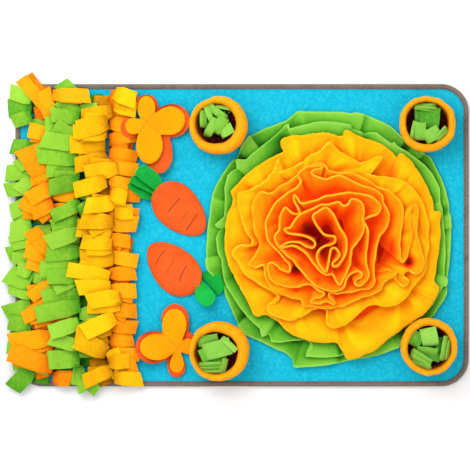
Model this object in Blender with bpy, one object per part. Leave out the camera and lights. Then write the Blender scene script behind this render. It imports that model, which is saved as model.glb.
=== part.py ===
"""Snuffle mat: a plush mat with a bound edge, five rows of sewn fleece strips, four cups filled with
strips, two butterflies, two carrots and a large ruffled flower.

Axes: X along the 900 mm side, Y along the 600 mm side, Z up. The origin is the middle of the underside.
Sizes in the tables are millimetres and degrees. Headings are counted anticlockwise from +X, seen from above.
"""
import math

import bmesh
import bpy
import numpy as np

MM = 0.001
GAP = 0.3                      # clearance between pieces that touch

# ---- mat ----------------------------------------------------------------------------------------
MAT_LENGTH = 900.0
MAT_WIDTH = 600.0
CORNER_RADIUS = 55.0
PANEL_THICKNESS = 5.0
BINDING_WIDTH = 10.0
BINDING_THICKNESS = 1.5
BINDING_BEVEL = 1.2
CORNER_STEPS = 5

FLOOR_OF_PIECES = PANEL_THICKNESS + GAP      # underside of whatever is sewn on the panel

# ---- fleece strips ------------------------------------------------------------------------------
FLEECE = 3.0                   # thickness of a strip, of a ruffle and of a cup's wall
TAPE_HEIGHT = 2.2
TAPE_END = 2.0                 # plain tape past the last strip
ROOT_SHARE = 0.60              # strips are pinched where they are sewn, by their neighbours further still
ROOT_SPACE = 1.5               # plain tape between two roots
STEEPEST = 0.3                 # least share of its root that a slanted strip keeps
TUFT_TAPE = -11.0              # the tape in a cup lies off the cup's middle
STRIP_STATIONS = (0.09, 0.24, 0.62, 1.0)     # shares of the reach at which a strip is shaped
STATION_WINDOW = 0.30          # share of the reach, each way, that a station clears
WINDOW_MARGIN = 1.5
FIRST_SAMPLE = 4.0             # distances from the root at which what lies under a strip is looked up
SAMPLE_SPACING = 3.0
REST_CLEARANCE = 0.9           # air between a strip and what it lies on
ARCH_START = 0.22              # the part of a half sine that a strip's arch follows
ARCH_SPAN = 0.66
ROW_LOFT = 9.0                 # how high a strip arches over what lies under it
TUFT_LOFT = 24.0

# A row of strips: where its tape runs, and a table of its strips.
# along: place on the tape; reach: length seen from above; heading; width; turn: 1 is laid last
STRIP_COLUMNS = ("along", "reach", "heading", "width", "turn")
GREEN_OUTER = (-417.0, (
    (268, 42, 155, 24, 0), (250, 43, 180, 32, 0), (234, 36, 186, 22, 0), (217, 25, 335, 28, 0),
    (198, 26, 350, 24, 0), (187, 34, 352, 24, 0), (177, 37, 173, 26, 0), (165, 33, 6, 24, 0),
    (154, 30, 205, 24, 0), (141, 34, 0, 24, 0), (129, 51, 188, 28, 0), (113, 36, 225, 24, 0),
    (95, 46, 195, 26, 0), (80, 34, 350, 26, 0), (66, 41, 208, 26, 0), (54, 33, 8, 24, 0),
    (42, 40, 176, 24, 0), (16, 45, 193, 36, 0), (4, 34, 356, 24, 0), (-8, 38, 190, 24, 0),
    (-29, 43, 181, 26, 0), (-40, 34, 4, 24, 0), (-50, 34, 168, 24, 0), (-72, 28, 149, 24, 0),
    (-83, 33, 352, 24, 0), (-94, 53, 166, 32, 0), (-106, 34, 2, 24, 0), (-119, 43, 167, 24, 0),
    (-138, 52, 189, 32, 0), (-149, 34, 358, 24, 0), (-160, 40, 184, 24, 0), (-181, 47, 170, 26, 0),
    (-200, 38, 178, 24, 0), (-220, 45, 189, 24, 0), (-231, 33, 10, 24, 0), (-242, 40, 196, 26, 0),
    (-253, 34, 354, 24, 0), (-264, 47, 232, 30, 0)))
ORANGE_OUTER = (-374.0, (
    (278, 66, 2, 26, 1), (259, 41, 340, 24, 0), (239, 90, 135, 24, 0), (220, 66, 108, 24, 0),
    (198, 48, 166, 26, 0), (186, 42, 354, 24, 0), (174, 69, 198, 30, 0), (160, 43, 4, 24, 0),
    (145, 46, 207, 26, 0), (133, 42, 358, 24, 0), (122, 48, 190, 26, 0), (111, 42, 8, 24, 0),
    (100, 48, 212, 30, 0), (81, 40, 355, 26, 0), (62, 44, 209, 28, 0), (50, 43, 352, 26, 0),
    (38, 64, 158, 24, 0), (20, 34, 352, 24, 0), (2, 42, 8, 24, 0), (-16, 48, 172, 26, 0),
    (-28, 42, 2, 24, 0), (-40, 60, 140, 28, 0), (-56, 43, 356, 26, 0), (-71, 48, 156, 24, 0),
    (-90, 50, 214, 22, 0), (-110, 48, 188, 26, 0), (-129, 60, 216, 26, 0), (-141, 42, 6, 24, 0),
    (-153, 44, 193, 28, 0), (-176, 34, 351, 28, 0), (-204, 79, 191, 36, 0),
    (-219, 42, 2, 24, 0), (-234, 48, 170, 28, 0), (-246, 43, 8, 24, 0), (-259, 84, 163, 32, 0),
    (-280, 36, 356, 26, 0)))
GREEN_INNER = (-322.0, (
    (268, 76, 136, 26, 0), (250, 34, 7, 26, 0), (232, 55, 167, 28, 0), (207, 67, 172, 28, 0),
    (194, 42, 354, 24, 0), (180, 66, 163, 30, 0), (153, 83, 168, 34, 0), (142, 43, 4, 24, 0),
    (131, 58, 178, 26, 0), (110, 57, 190, 30, 0), (81, 32, 10, 24, 0), (62, 54, 206, 24, 0),
    (44, 28, 28, 24, 0), (26, 54, 182, 24, 0), (7, 58, 196, 28, 0), (-12, 56, 176, 26, 0),
    (-33, 58, 175, 26, 0), (-46, 43, 2, 24, 0), (-59, 74, 182, 28, 0), (-82, 63, 184, 26, 0),
    (-99, 34, 352, 26, 0), (-117, 70, 183, 28, 0), (-138, 80, 186, 30, 0), (-156, 34, 2, 24, 0),
    (-174, 54, 200, 26, 0), (-187, 42, 352, 24, 0), (-200, 56, 186, 28, 0), (-222, 54, 170, 26, 0),
    (-232, 43, 6, 24, 0), (-243, 62, 176, 34, 0), (-261, 46, 282, 20, 0), (-279, 42, 318, 20, 0)))
YELLOW = (-263.0, (
    (279, 32, 340, 28, 1), (260, 37, 347, 26, 1), (244, 55, 184, 26, 0), (225, 57, 193, 34, 0),
    (198, 55, 176, 26, 0), (173, 58, 180, 34, 0), (153, 55, 186, 26, 0), (134, 55, 186, 28, 0),
    (108, 55, 193, 28, 0), (84, 21, 346, 26, 1), (62, 53, 194, 26, 0), (42, 26, 0, 28, 1),
    (26, 55, 188, 26, 0), (6, 55, 179, 30, 0), (-20, 55, 174, 26, 0), (-45, 53, 180, 32, 0),
    (-81, 68, 178, 28, 0), (-101, 55, 184, 26, 0), (-121, 55, 193, 28, 0), (-143, 55, 176, 26, 0),
    (-165, 56, 197, 28, 0), (-188, 55, 184, 26, 0), (-210, 55, 178, 28, 0), (-233, 58, 164, 32, 0),
    (-250, 32, 7, 28, 1), (-265, 55, 194, 26, 0), (-280, 48, 356, 26, 1)))
ORANGE_INNER = (-258.0, (
    (276, 41, 0, 26, 0), (249, 47, 5, 28, 0), (219, 43, 2, 26, 0), (191, 44, 0, 26, 0),
    (164, 44, 358, 25, 0), (137, 50, 357, 25, 0), (108, 33, 352, 24, 0), (76, 49, 358, 26, 0),
    (48, 55, 355, 26, 0), (20, 47, 355, 26, 0), (-8, 35, 340, 24, 0), (-42, 44, 351, 26, 0),
    (-79, 47, 355, 26, 0), (-110, 49, 354, 26, 0), (-146, 47, 357, 26, 0), (-179, 46, 3, 26, 0),
    (-206, 37, 0, 25, 0), (-234, 49, 2, 25, 0), (-264, 43, 3, 26, 0)))

# ---- cups ---------------------------------------------------------------------------------------
# centre of each cup, the way its widest bulge faces, and the strips of its tuft
CUP_COLUMNS = ("name", "x", "y", "bulge", "tuft_heading", "tuft")
CUPS = (
    ("1", -45.7, 216.0, 20, 60, (
        (-18, 60, 342, 25, 0), (-12, 60, 188, 20, 0), (-6, 60, 356, 27, 0), (0, 60, 176, 22, 0),
        (6, 60, 8, 27, 0), (12, 60, 172, 20, 0), (18, 60, 20, 25, 0))),
    ("2", 366.0, 219.0, 250, 90, (
        (-18, 60, 338, 26, 0), (-12, 60, 192, 20, 0), (-6, 60, 0, 28, 0), (0, 60, 184, 22, 0),
        (6, 60, 4, 28, 0), (12, 60, 162, 20, 0), (18, 60, 14, 26, 0))),
    ("3", -43.7, -228.0, 140, 55, (
        (-18, 60, 346, 25, 0), (-12, 60, 188, 20, 0), (-6, 60, 357, 28, 0), (0, 60, 180, 22, 0),
        (6, 60, 8, 27, 0), (12, 60, 170, 20, 0), (18, 60, 14, 25, 0))),
    ("4", 368.6, -219.4, 300, 100, (
        (-18, 60, 340, 26, 0), (-12, 60, 194, 20, 0), (-6, 60, 358, 28, 0), (0, 60, 178, 22, 0),
        (6, 60, 6, 27, 0), (12, 60, 168, 20, 0), (18, 60, 18, 26, 0))),
)
TUFT_ROOM = 39.0               # strips in a cup stop at this distance from its middle
CUP_STEPS = 20
CUP_UNEVEN = 0.035             # how far the rim departs from a circle
CUP_UNEVEN_FROM = 20.0         # height above which it does
CUP_UNEVEN_RISE = 40.0         # and over which it grows to the full share
CUP_WAVE = 1.6                 # how far the rim rises and falls
# middle of the cup's wall from its seam on the panel, over the turned rim, to its edge
CUP_PROFILE_COLUMNS = ("radius", "height")
CUP_PROFILE = ((42.5, FLOOR_OF_PIECES), (44.0, 26.0), (44.5, 46.0), (49.0, 57.0), (55.0, 56.0), (56.0, 47.0))

# ---- butterflies --------------------------------------------------------------------------------
APPLIQUE = 2.0                 # thickness of a cut-out piece
BUTTERFLY_STEPS = 42
BUTTERFLY_WAIST = 15.0
LOBE_COLUMNS = ("dx", "dy", "half_length", "half_height")
BUTTERFLY_TOP = (-187.4, 223.1)
TOP_BACKING_LOBES = ((-1.0, 36.0, 22.0, 20.0), (48.0, 4.0, 37.0, 34.0), (22.0, -62.0, 29.0, 41.0),
                     (-32.0, -10.0, 21.0, 22.0))
TOP_WING_LOBES = ((-2.0, 28.0, 18.0, 25.0), (44.0, 4.0, 32.0, 29.0), (4.0, -46.0, 27.0, 37.0),
                  (-27.0, -7.0, 17.5, 17.5))
BUTTERFLY_BOTTOM = (-130.7, -222.1)
BOTTOM_BACKING_LOBES = ((-2.0, 54.0, 29.0, 33.0), (-44.0, 0.0, 37.0, 33.0), (1.0, -36.0, 19.0, 25.0),
                        (22.0, 11.0, 16.0, 20.0))
BOTTOM_WING_LOBES = ((-3.0, 44.5, 25.0, 33.0), (-38.0, 1.0, 34.0, 27.0), (1.0, -32.0, 15.0, 20.0),
                     (21.5, 2.0, 16.0, 16.0))
WING_LIFT = 9.0                # how far the wing tips stand off the mat
WING_SPAN = 90.0               # distance from the middle at which they do
INNER_RING = 0.55              # where a cut-out piece's inner ring of points lies
WING_REST = 13.0               # half side of what a wing's point clears
MIDDLE_REST = 10.0             # the same for its middle
LOW_SEAT = -0.6                # seat of a wing whose backing is highest beside the wing's points
PIECE_REST = 9.0               # half side of what a leaf's or carrot's point clears

# ---- carrots ------------------------------------------------------------------------------------
CARROT_LENGTH = 129.0
CARROT_WIDTH = 86.0
CARROT_TAPER = 0.20            # the narrow end is this share slimmer than an ellipse
CARROT_CROWN = 9.0
CARROT_STEPS = 30
CARROT_COLUMNS = ("name", "x", "y", "narrow_end", "leaves")
LEAF_COLUMNS = ("root_x", "root_y", "tip_x", "tip_y", "width")
LEAF_STEPS = 14
LEAF_MIDDLE = 0.52             # share of the way to the tip
LEAF_FULLNESS = 0.25           # how much wider the leaf is past its middle
CARROTS = (
    ("top", -123.0, 50.0, 315, (
        (-163, 78, -222, 88, 30), (-165, 82, -207, 122, 32), (-158, 88, -168, 136, 30))),
    ("bottom", -137.0, -65.0, 135, (
        (-90, -98, -62, -141, 32), (-92, -84, -38, -96, 34))),
)

# ---- flower -------------------------------------------------------------------------------------
FLOWER_X = 166.9
FLOWER_Y = -5.6
EDGE_COLUMNS = ("heading", "radius")
LEAF_RUFFLE_STEPS = 54
LEAF_RUFFLE_ROOT = 196.0       # inner edge of the two green rings
TUCK_RISE = 5.0
TUCK_SPAN = 20.0               # headings over which a tuck rises
TUCK_FALL = 2.0                # and over which it drops again
LEAF_RUFFLE_GAP = 0.5          # between the two green rings at their inner edges
LEAF_RUFFLE_LIFT = 3.0         # how much further apart they are at their outer edges
# heading at which a tuck in the green rings ends
TUCKS = (10, 45, 72, 106, 133, 163, 195, 229, 258, 300, 340)
LEAF_RUFFLE_1 = (
    (0, 248), (20, 253), (34, 250), (44, 249), (60, 251), (70, 256), (85, 250), (100, 250), (105, 254),
    (112, 240), (122, 247), (140, 241), (150, 246), (165, 238), (180, 236), (195, 240), (210, 241),
    (219, 236), (227, 248), (240, 239), (253, 241), (259, 256), (275, 250), (290, 248), (304, 244),
    (316, 243), (327, 256), (334, 263), (345, 252))
LEAF_RUFFLE_2 = (
    (0, 231), (20, 235), (40, 238), (60, 238), (72, 234), (90, 228), (110, 221), (130, 220), (150, 227),
    (170, 217), (185, 214), (200, 216), (215, 226), (230, 227), (250, 216), (262, 227), (277, 236),
    (295, 237), (320, 239), (335, 246), (348, 237))
# gathered ruffles, outermost first. A row for each fold: the heading of its crest, how far out the crest
# and the valley after it stand, and how far the crest leans sideways as a share of the fold
RUFFLE_COLUMNS = ("root_radius", "height", "folds")
FOLD_COLUMNS = ("heading", "crest", "valley", "curl")
RUFFLES = (
    (147.0, 28.0, (
        (10, 229, 217, 0.06), (45, 228, 214, 0.08), (82, 219, 207, 0.0), (111, 214, 198, 0.0),
        (146, 213, 196, 0.10), (174, 200, 196, 0.0), (201, 208, 202, -0.10), (228, 215, 193, 0.10),
        (254, 199, 195, 0.0), (281, 231, 222, 0.08), (307, 230, 224, -0.08), (332, 242, 226, 0.06))),
    (115.0, 35.0, (
        (8, 185, 176, -0.08), (30, 195, 166, 0.09), (59, 182, 160, -0.10), (88, 180, 166, 0.08),
        (115, 188, 162, -0.08), (146, 184, 162, 0.10), (171, 186, 164, -0.08), (198, 186, 160, 0.10),
        (232, 182, 150, 0.08), (262, 178, 158, -0.10), (287, 189, 152, 0.08), (313, 178, 160, -0.08),
        (338, 200, 180, 0.10))),
    (85.0, 42.0, (
        (2, 168, 144, 0.12), (20, 154, 134, -0.12), (37, 160, 126, 0.12), (58, 148, 118, -0.12),
        (77, 144, 118, 0.12), (97, 144, 112, -0.12), (118, 146, 114, 0.12), (139, 150, 124, -0.12),
        (158, 154, 128, 0.12), (178, 152, 122, -0.12), (200, 150, 124, 0.12), (221, 150, 120, -0.12),
        (243, 154, 110, 0.12), (266, 142, 116, -0.12), (287, 148, 122, 0.12), (307, 154, 126, -0.12),
        (326, 160, 130, 0.12), (344, 166, 140, -0.12))),
    (60.0, 49.0, (
        (10, 132, 106, 0.12), (33, 128, 98, -0.12), (55, 120, 90, 0.12), (78, 110, 82, -0.12),
        (101, 104, 80, 0.12), (125, 112, 86, -0.12), (147, 120, 94, 0.12), (168, 126, 96, -0.12),
        (190, 124, 96, 0.12), (212, 126, 94, -0.12), (235, 120, 88, 0.12), (258, 114, 88, -0.12),
        (280, 114, 88, 0.12), (302, 120, 94, -0.12), (325, 126, 96, 0.12), (347, 132, 102, -0.12))),
    (38.0, 56.0, (
        (4, 96, 70, -0.12), (31, 98, 66, 0.12), (59, 88, 58, -0.12), (87, 78, 54, 0.12),
        (115, 78, 58, -0.12), (143, 88, 64, 0.12), (170, 96, 68, -0.12), (197, 98, 68, 0.12),
        (225, 94, 64, -0.12), (253, 90, 62, 0.12), (281, 90, 64, -0.12), (308, 96, 68, 0.12),
        (335, 96, 68, -0.12))),
    (22.0, 62.0, (
        (12, 63, 44, 0.12), (48, 59, 40, -0.12), (84, 52, 36, 0.12), (120, 52, 38, -0.12),
        (157, 59, 42, 0.12), (193, 66, 44, -0.12), (229, 63, 42, 0.12), (266, 61, 42, -0.12),
        (302, 63, 44, 0.12), (338, 61, 42, -0.12))),
    (10.0, 66.0, (
        (20, 35, 21, 0.12), (70, 32, 19, -0.12), (121, 29, 18, 0.12), (172, 30, 19, -0.12),
        (224, 35, 21, 0.12), (275, 35, 20, -0.12), (322, 34, 21, 0.12))),
)
CREST_WIDTH = 0.20             # share of a fold's span taken by half its crest
VALLEY_WIDTH = 0.15
# the way a ruffle leans, from its root to its edge: shares of its spread and of its height
LEAN_COLUMNS = ("spread", "rise")
LEAN = ((0.0, 0.0), (0.18, 0.68), (1.0, 1.0))
ROOT_FOLLOW = 0.25             # how much of the edge's swing reaches the root
SWING_EVENED = 3               # points each way over which the root's spacing is evened out
WHORL_X = -14.0                # the innermost ruffle stands off the flower's middle, the others less
WHORL_Y = 5.0

# ---- height field -------------------------------------------------------------------------------
CELL = 2.0
FIELD_X = 480.0
FIELD_Y = 330.0
SAMPLE_STEP = 1.5
ACROSS_SAMPLES = 9

# ---- colours: base colour, roughness, metallic ---------------------------------------------------
FINISHES = {
    "plush_blue": ((0.012, 0.52, 0.80), 0.95, 0.0),
    "binding_grey": ((0.18, 0.14, 0.125), 0.85, 0.0),
    "fleece_green": ((0.26, 0.66, 0.06), 0.92, 0.0),
    "fleece_yellow": ((1.0, 0.57, 0.0), 0.92, 0.0),
    "fleece_orange": ((1.0, 0.36, 0.0), 0.92, 0.0),
    "felt_coral": ((1.0, 0.14, 0.025), 0.92, 0.0),
    "felt_yellow": ((1.0, 0.45, 0.003), 0.92, 0.0),
    "felt_leaf": ((0.004, 0.39, 0.04), 0.92, 0.0),
    "cup_orange": ((1.0, 0.38, 0.002), 0.92, 0.0),
    "ruffle_green": ((0.27, 0.63, 0.06), 0.92, 0.0),
    "ruffle_yellow": ((1.0, 0.45, 0.0), 0.92, 0.0),
}


class HeightField:
    """Top of everything sewn on so far, on a square grid seen from above."""

    def __init__(self):
        columns = int(2 * FIELD_X / CELL) + 1
        lines = int(2 * FIELD_Y / CELL) + 1
        self.top = np.zeros((columns, lines))

    def cell(self, x, y):
        column = np.clip(np.rint((np.asarray(x) + FIELD_X) / CELL).astype(int), 0, self.top.shape[0] - 1)
        line = np.clip(np.rint((np.asarray(y) + FIELD_Y) / CELL).astype(int), 0, self.top.shape[1] - 1)
        return column, line

    def cover(self, points, faces):
        """Raise the field to the height of a solid's faces."""
        points = np.asarray(points)
        for face in faces:
            for second, third in zip(face[1:-1], face[2:]):
                a, b, c = points[face[0]], points[second], points[third]
                longest = max(np.abs(b - a).max(), np.abs(c - a).max(), np.abs(c - b).max())
                steps = max(1, math.ceil(longest / SAMPLE_STEP))
                u, v = np.meshgrid(np.arange(steps + 1) / steps, np.arange(steps + 1) / steps)
                inside = u + v <= 1.0 + 1e-9
                u, v = u[inside][:, None], v[inside][:, None]
                samples = a + u * (b - a) + v * (c - a)
                column, line = self.cell(samples[:, 0], samples[:, 1])
                np.maximum.at(self.top, (column, line), samples[:, 2])

    def highest(self, x, y, radius):
        """Highest point within a square of the given half side."""
        low_column, low_line = self.cell(x - radius, y - radius)
        high_column, high_line = self.cell(x + radius, y + radius)
        return float(self.top[low_column:high_column + 1, low_line:high_line + 1].max())


def finish(name):
    """The material of a slot, made once."""
    material = bpy.data.materials.get(name)
    if material is None:
        colour, roughness, metallic = FINISHES[name]
        material = bpy.data.materials.new(name)
        material.use_nodes = True
        shader = material.node_tree.nodes["Principled BSDF"]
        shader.inputs["Base Color"].default_value = (*colour, 1.0)
        shader.inputs["Roughness"].default_value = roughness
        shader.inputs["Metallic"].default_value = metallic
        material.diffuse_color = (*colour, 1.0)
    return material


def add_solid(name, points, faces, material, field=None):
    """Make one closed object from points in millimetres."""
    mesh = bpy.data.meshes.new(name)
    mesh.from_pydata([tuple(float(value) * MM for value in point) for point in points], [], faces)
    shape = bmesh.new()
    shape.from_mesh(mesh)
    bmesh.ops.recalc_face_normals(shape, faces=shape.faces)
    shape.to_mesh(mesh)
    shape.free()
    mesh.materials.append(finish(material))
    mesh.shade_smooth()
    mesh.set_sharp_from_angle(angle=math.radians(50))
    piece = bpy.data.objects.new(name, mesh)
    bpy.context.collection.objects.link(piece)
    if field is not None:
        field.cover(points, faces)
    return piece


def rows_of(table, columns):
    """The rows of a table, each as a dictionary of its named columns."""
    return [dict(zip(columns, row)) for row in table]


# ---- sheets -------------------------------------------------------------------------------------
def sheet_around(grid, thickness, level_foot=False):
    """Points and faces of a sheet that closes on itself: grid[line][step] is its middle surface.

    A level foot is the first line's cut, level with what it stands on.
    """
    grid = np.asarray(grid, dtype=float)
    lines, steps, _ = grid.shape
    along = np.roll(grid, -1, axis=1) - np.roll(grid, 1, axis=1)
    across = np.gradient(grid, axis=0)
    normal = np.cross(along, across)
    if level_foot:
        normal[0, :, 2] = 0.0
    normal /= np.linalg.norm(normal, axis=2, keepdims=True)
    points = np.concatenate([grid + normal * thickness / 2, grid - normal * thickness / 2]).reshape(-1, 3)
    back = lines * steps
    faces = []
    for step in range(steps):
        after = (step + 1) % steps
        for line in range(lines - 1):
            a, b = line * steps + step, line * steps + after
            c, d = a + steps, b + steps
            faces.append((a, b, d, c))
            faces.append((back + a, back + c, back + d, back + b))
        faces.append((step, back + step, back + after, after))
        rim, rim_after = (lines - 1) * steps + step, (lines - 1) * steps + after
        faces.append((rim, rim_after, back + rim_after, back + rim))
    return points, faces


def cut_out(centre, rings, thickness):
    """Points and faces of a flat piece: rings of points about a middle point, each with its own height."""
    rings = np.asarray(rings, dtype=float)
    lines, steps, _ = rings.shape
    under = np.concatenate([np.asarray([centre], dtype=float), rings.reshape(-1, 3)])
    over = under + np.array((0.0, 0.0, thickness))
    points = np.concatenate([under, over])
    back = len(under)
    faces = []
    for step in range(steps):
        after = (step + 1) % steps
        faces.append((0, 1 + after, 1 + step))
        faces.append((back, back + 1 + step, back + 1 + after))
        for line in range(lines - 1):
            a, b = 1 + line * steps + step, 1 + line * steps + after
            c, d = a + steps, b + steps
            faces.append((a, b, d, c))
            faces.append((back + a, back + c, back + d, back + b))
        a, b = 1 + (lines - 1) * steps + step, 1 + (lines - 1) * steps + after
        faces.append((a, b, back + b, back + a))
    return points, faces


# ---- mat ----------------------------------------------------------------------------------------
def rounded_outline(inset):
    """Plan of the mat drawn in by an inset, anticlockwise."""
    radius = CORNER_RADIUS - inset
    points = []
    for quarter, (side_x, side_y) in enumerate(((1, 1), (-1, 1), (-1, -1), (1, -1))):
        middle_x = side_x * (MAT_LENGTH / 2 - CORNER_RADIUS)
        middle_y = side_y * (MAT_WIDTH / 2 - CORNER_RADIUS)
        for step in range(CORNER_STEPS + 1):
            turn = math.radians(90 * quarter + 90 * step / CORNER_STEPS)
            points.append((middle_x + radius * math.cos(turn), middle_y + radius * math.sin(turn)))
    return points


def build_base(field):
    outline = rounded_outline(BINDING_THICKNESS + GAP)
    count = len(outline)
    points = [(x, y, z) for z in (0.0, PANEL_THICKNESS) for x, y in outline]
    faces = [tuple(reversed(range(count))), tuple(range(count, 2 * count))]
    faces += [(i, (i + 1) % count, count + (i + 1) % count, count + i) for i in range(count)]
    add_solid("base_panel", points, faces, "plush_blue", field)


def build_binding(field):
    """Tape over the panel's edge: an upright side and a flap on top."""
    top = FLOOR_OF_PIECES + BINDING_THICKNESS
    section = ((0.0, 0.0), (0.0, top - BINDING_BEVEL), (BINDING_BEVEL, top), (BINDING_WIDTH, top),
               (BINDING_WIDTH, FLOOR_OF_PIECES), (BINDING_THICKNESS, FLOOR_OF_PIECES),
               (BINDING_THICKNESS, 0.0))
    loops = [[(x, y, z) for x, y in rounded_outline(inset)] for inset, z in section]
    count = len(loops[0])
    points = [point for loop in loops for point in loop]
    faces = []
    for line in range(len(loops)):
        for step in range(count):
            after = (step + 1) % count
            below = (line + 1) % len(loops)
            faces.append((line * count + step, line * count + after,
                          below * count + after, below * count + step))
    add_solid("binding", points, faces, "binding_grey", field)


# ---- strips -------------------------------------------------------------------------------------
def turned(x, y, degrees):
    cosine, sine = math.cos(math.radians(degrees)), math.sin(math.radians(degrees))
    return cosine * x - sine * y, sine * x + cosine * y


class StripRow:
    """Fleece strips grown from one narrow tape, which runs along its own Y axis before it is turned."""

    def __init__(self, name, place, turn, tape_x, strips, material, loft, room=None):
        self.name = name
        self.place = place
        self.turn = turn
        self.tape_x = tape_x
        self.strips = sorted(strips, key=lambda strip: strip["along"])
        self.material = material
        self.loft = loft
        self.room = room
        self.points = []
        self.faces = []
        self.slots = {}
        places = np.array([strip["along"] for strip in self.strips])
        for strip, left, right in zip(self.strips, np.diff(places, prepend=-np.inf),
                                      np.diff(places, append=np.inf)):
            slant = max(STEEPEST, abs(math.cos(math.radians(strip["heading"]))))
            strip["root"] = min(ROOT_SHARE * slant * strip["width"], left - ROOT_SPACE, right - ROOT_SPACE)

    def world(self, x, y):
        """A place on the row's own axes, counted from its tape, on the mat."""
        turned_x, turned_y = turned(self.tape_x + x, y, self.turn)
        return self.place[0] + turned_x, self.place[1] + turned_y

    def lay_tape(self, field):
        """The tape, with one open slot in its top for each strip's root."""
        low, high = FLOOR_OF_PIECES, FLOOR_OF_PIECES + TAPE_HEIGHT
        half = FLEECE / 2
        marks = []
        for strip in self.strips:
            marks += [strip["along"] - strip["root"] / 2, strip["along"] + strip["root"] / 2]
        marks = [marks[0] - TAPE_END, *marks, marks[-1] + TAPE_END]
        for mark in marks:
            for side in (-half, half):
                self.points.append((*self.world(side, mark), high))
        last = len(marks) - 1
        for place in range(last):
            left, right, far_right, far_left = 2 * place, 2 * place + 1, 2 * place + 3, 2 * place + 2
            if place % 2 == 0:
                self.faces.append((left, right, far_right, far_left))
            else:
                self.slots[self.strips[(place - 1) // 2]["along"]] = (left, right, far_right, far_left)
        base = len(self.points)
        for mark in (marks[0], marks[-1]):
            for side in (-half, half):
                self.points.append((*self.world(side, mark), low))
        self.faces.append((base, base + 2, base + 3, base + 1))
        self.faces.append((0, base, base + 1, 1))
        self.faces.append((2 * last, 2 * last + 1, base + 3, base + 2))
        middle = last // 2
        for side in (0, 1):
            for place in range(last):
                near = base + side if place < middle else base + 2 + side
                self.faces.append((near, 2 * place + side, 2 * place + 2 + side))
            self.faces.append((base + side, 2 * middle + side, base + 2 + side))
        field.cover(self.points, self.faces)

    def lay_strip(self, strip, field):
        """One strip: up from its slot, over what lies in its way, and down to its tip."""
        heading = math.radians(strip["heading"] + self.turn)
        way = np.array((math.cos(heading), math.sin(heading)))
        root = np.array(self.world(0.0, strip["along"]))
        tape_way = np.array(turned(0.0, 1.0, self.turn))
        level = np.array((-way[1], way[0]))
        if level @ tape_way < 0:
            level = -level
        reach = strip["reach"]
        if self.room is not None:
            reach = min(reach, self.reach_inside(root - self.place, way, level, strip["width"]))
        window = STATION_WINDOW * reach + WINDOW_MARGIN

        def rest_height(distance):
            spot = root + way * distance
            return max(field.highest(*(spot + level * share * strip["width"] / 2), CELL)
                       for share in np.linspace(-1.0, 1.0, ACROSS_SAMPLES))

        samples = np.arange(FIRST_SAMPLE, reach + CELL, SAMPLE_SPACING)
        rests = np.array([rest_height(distance) for distance in samples])
        stations = [np.array((*root, FLOOR_OF_PIECES + TAPE_HEIGHT))]
        for share in STRIP_STATIONS:
            near = rests[np.abs(samples - share * reach) <= window]
            arch = self.loft * math.sin(math.pi * (ARCH_START + ARCH_SPAN * share))
            height = max(near.max() + REST_CLEARANCE + FLEECE / 2, FLOOR_OF_PIECES + TAPE_HEIGHT + arch)
            stations.append(np.array((*(root + way * share * reach), height)))
        self.grow(strip, stations, tape_way, level, field)

    def reach_inside(self, root, way, level, width):
        """How far a strip goes until one of its corners meets the room's edge."""
        reaches = []
        for side in (-0.5, 0.5):
            start = root + level * side * width
            ahead = start @ way
            reaches.append(-ahead + math.sqrt(ahead ** 2 - start @ start + self.room ** 2))
        return min(reaches)

    def grow(self, strip, stations, tape_way, level, field):
        """Skin the four sides and the tip of a strip along its stations."""
        ring = list(self.slots[strip["along"]])
        new_faces = []
        for place in range(1, len(stations)):
            before, here = stations[place - 1], stations[place]
            after = stations[place + 1] if place + 1 < len(stations) else here
            along = after - before
            along /= np.linalg.norm(along)
            blend = min(1.0, place / 2)
            side = (1 - blend) * tape_way + blend * level
            side = np.array((*(side / np.linalg.norm(side)), 0.0))
            thin = np.cross(along, side)
            thin /= np.linalg.norm(thin)
            half_width = strip["root" if place == 1 else "width"] / 2
            corners = []
            for face_side, end in ((1, -1), (-1, -1), (-1, 1), (1, 1)):
                self.points.append(tuple(here + thin * face_side * FLEECE / 2 + side * end * half_width))
                corners.append(len(self.points) - 1)
            for corner in range(4):
                beyond = (corner + 1) % 4
                new_faces.append((ring[corner], ring[beyond], corners[beyond], corners[corner]))
            ring = corners
        new_faces.append(tuple(ring))
        self.faces += new_faces
        field.cover(self.points, new_faces)

    def make(self):
        add_solid(self.name, self.points, self.faces, self.material)


def build_strips(field):
    """All rows: the tapes first, then each strip over those laid before it."""
    rows = []
    for name, (tape_x, table), material in (
            ("strips_green_outer", GREEN_OUTER, "fleece_green"),
            ("strips_orange_outer", ORANGE_OUTER, "fleece_orange"),
            ("strips_green_inner", GREEN_INNER, "fleece_green"),
            ("strips_orange_inner", ORANGE_INNER, "fleece_orange"),
            ("strips_yellow", YELLOW, "fleece_yellow")):
        rows.append(StripRow(name, (0.0, 0.0), 0.0, tape_x, rows_of(table, STRIP_COLUMNS), material,
                             ROW_LOFT))
    for row in rows:
        row.lay_tape(field)
    for turn in (0, 1):
        for row in rows:
            waiting = [strip for strip in row.strips if strip["turn"] == turn]
            waiting.sort(key=lambda strip: abs(math.sin(math.radians(strip["heading"]))))
            for strip in waiting:
                row.lay_strip(strip, field)
    for row in rows:
        row.make()


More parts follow.
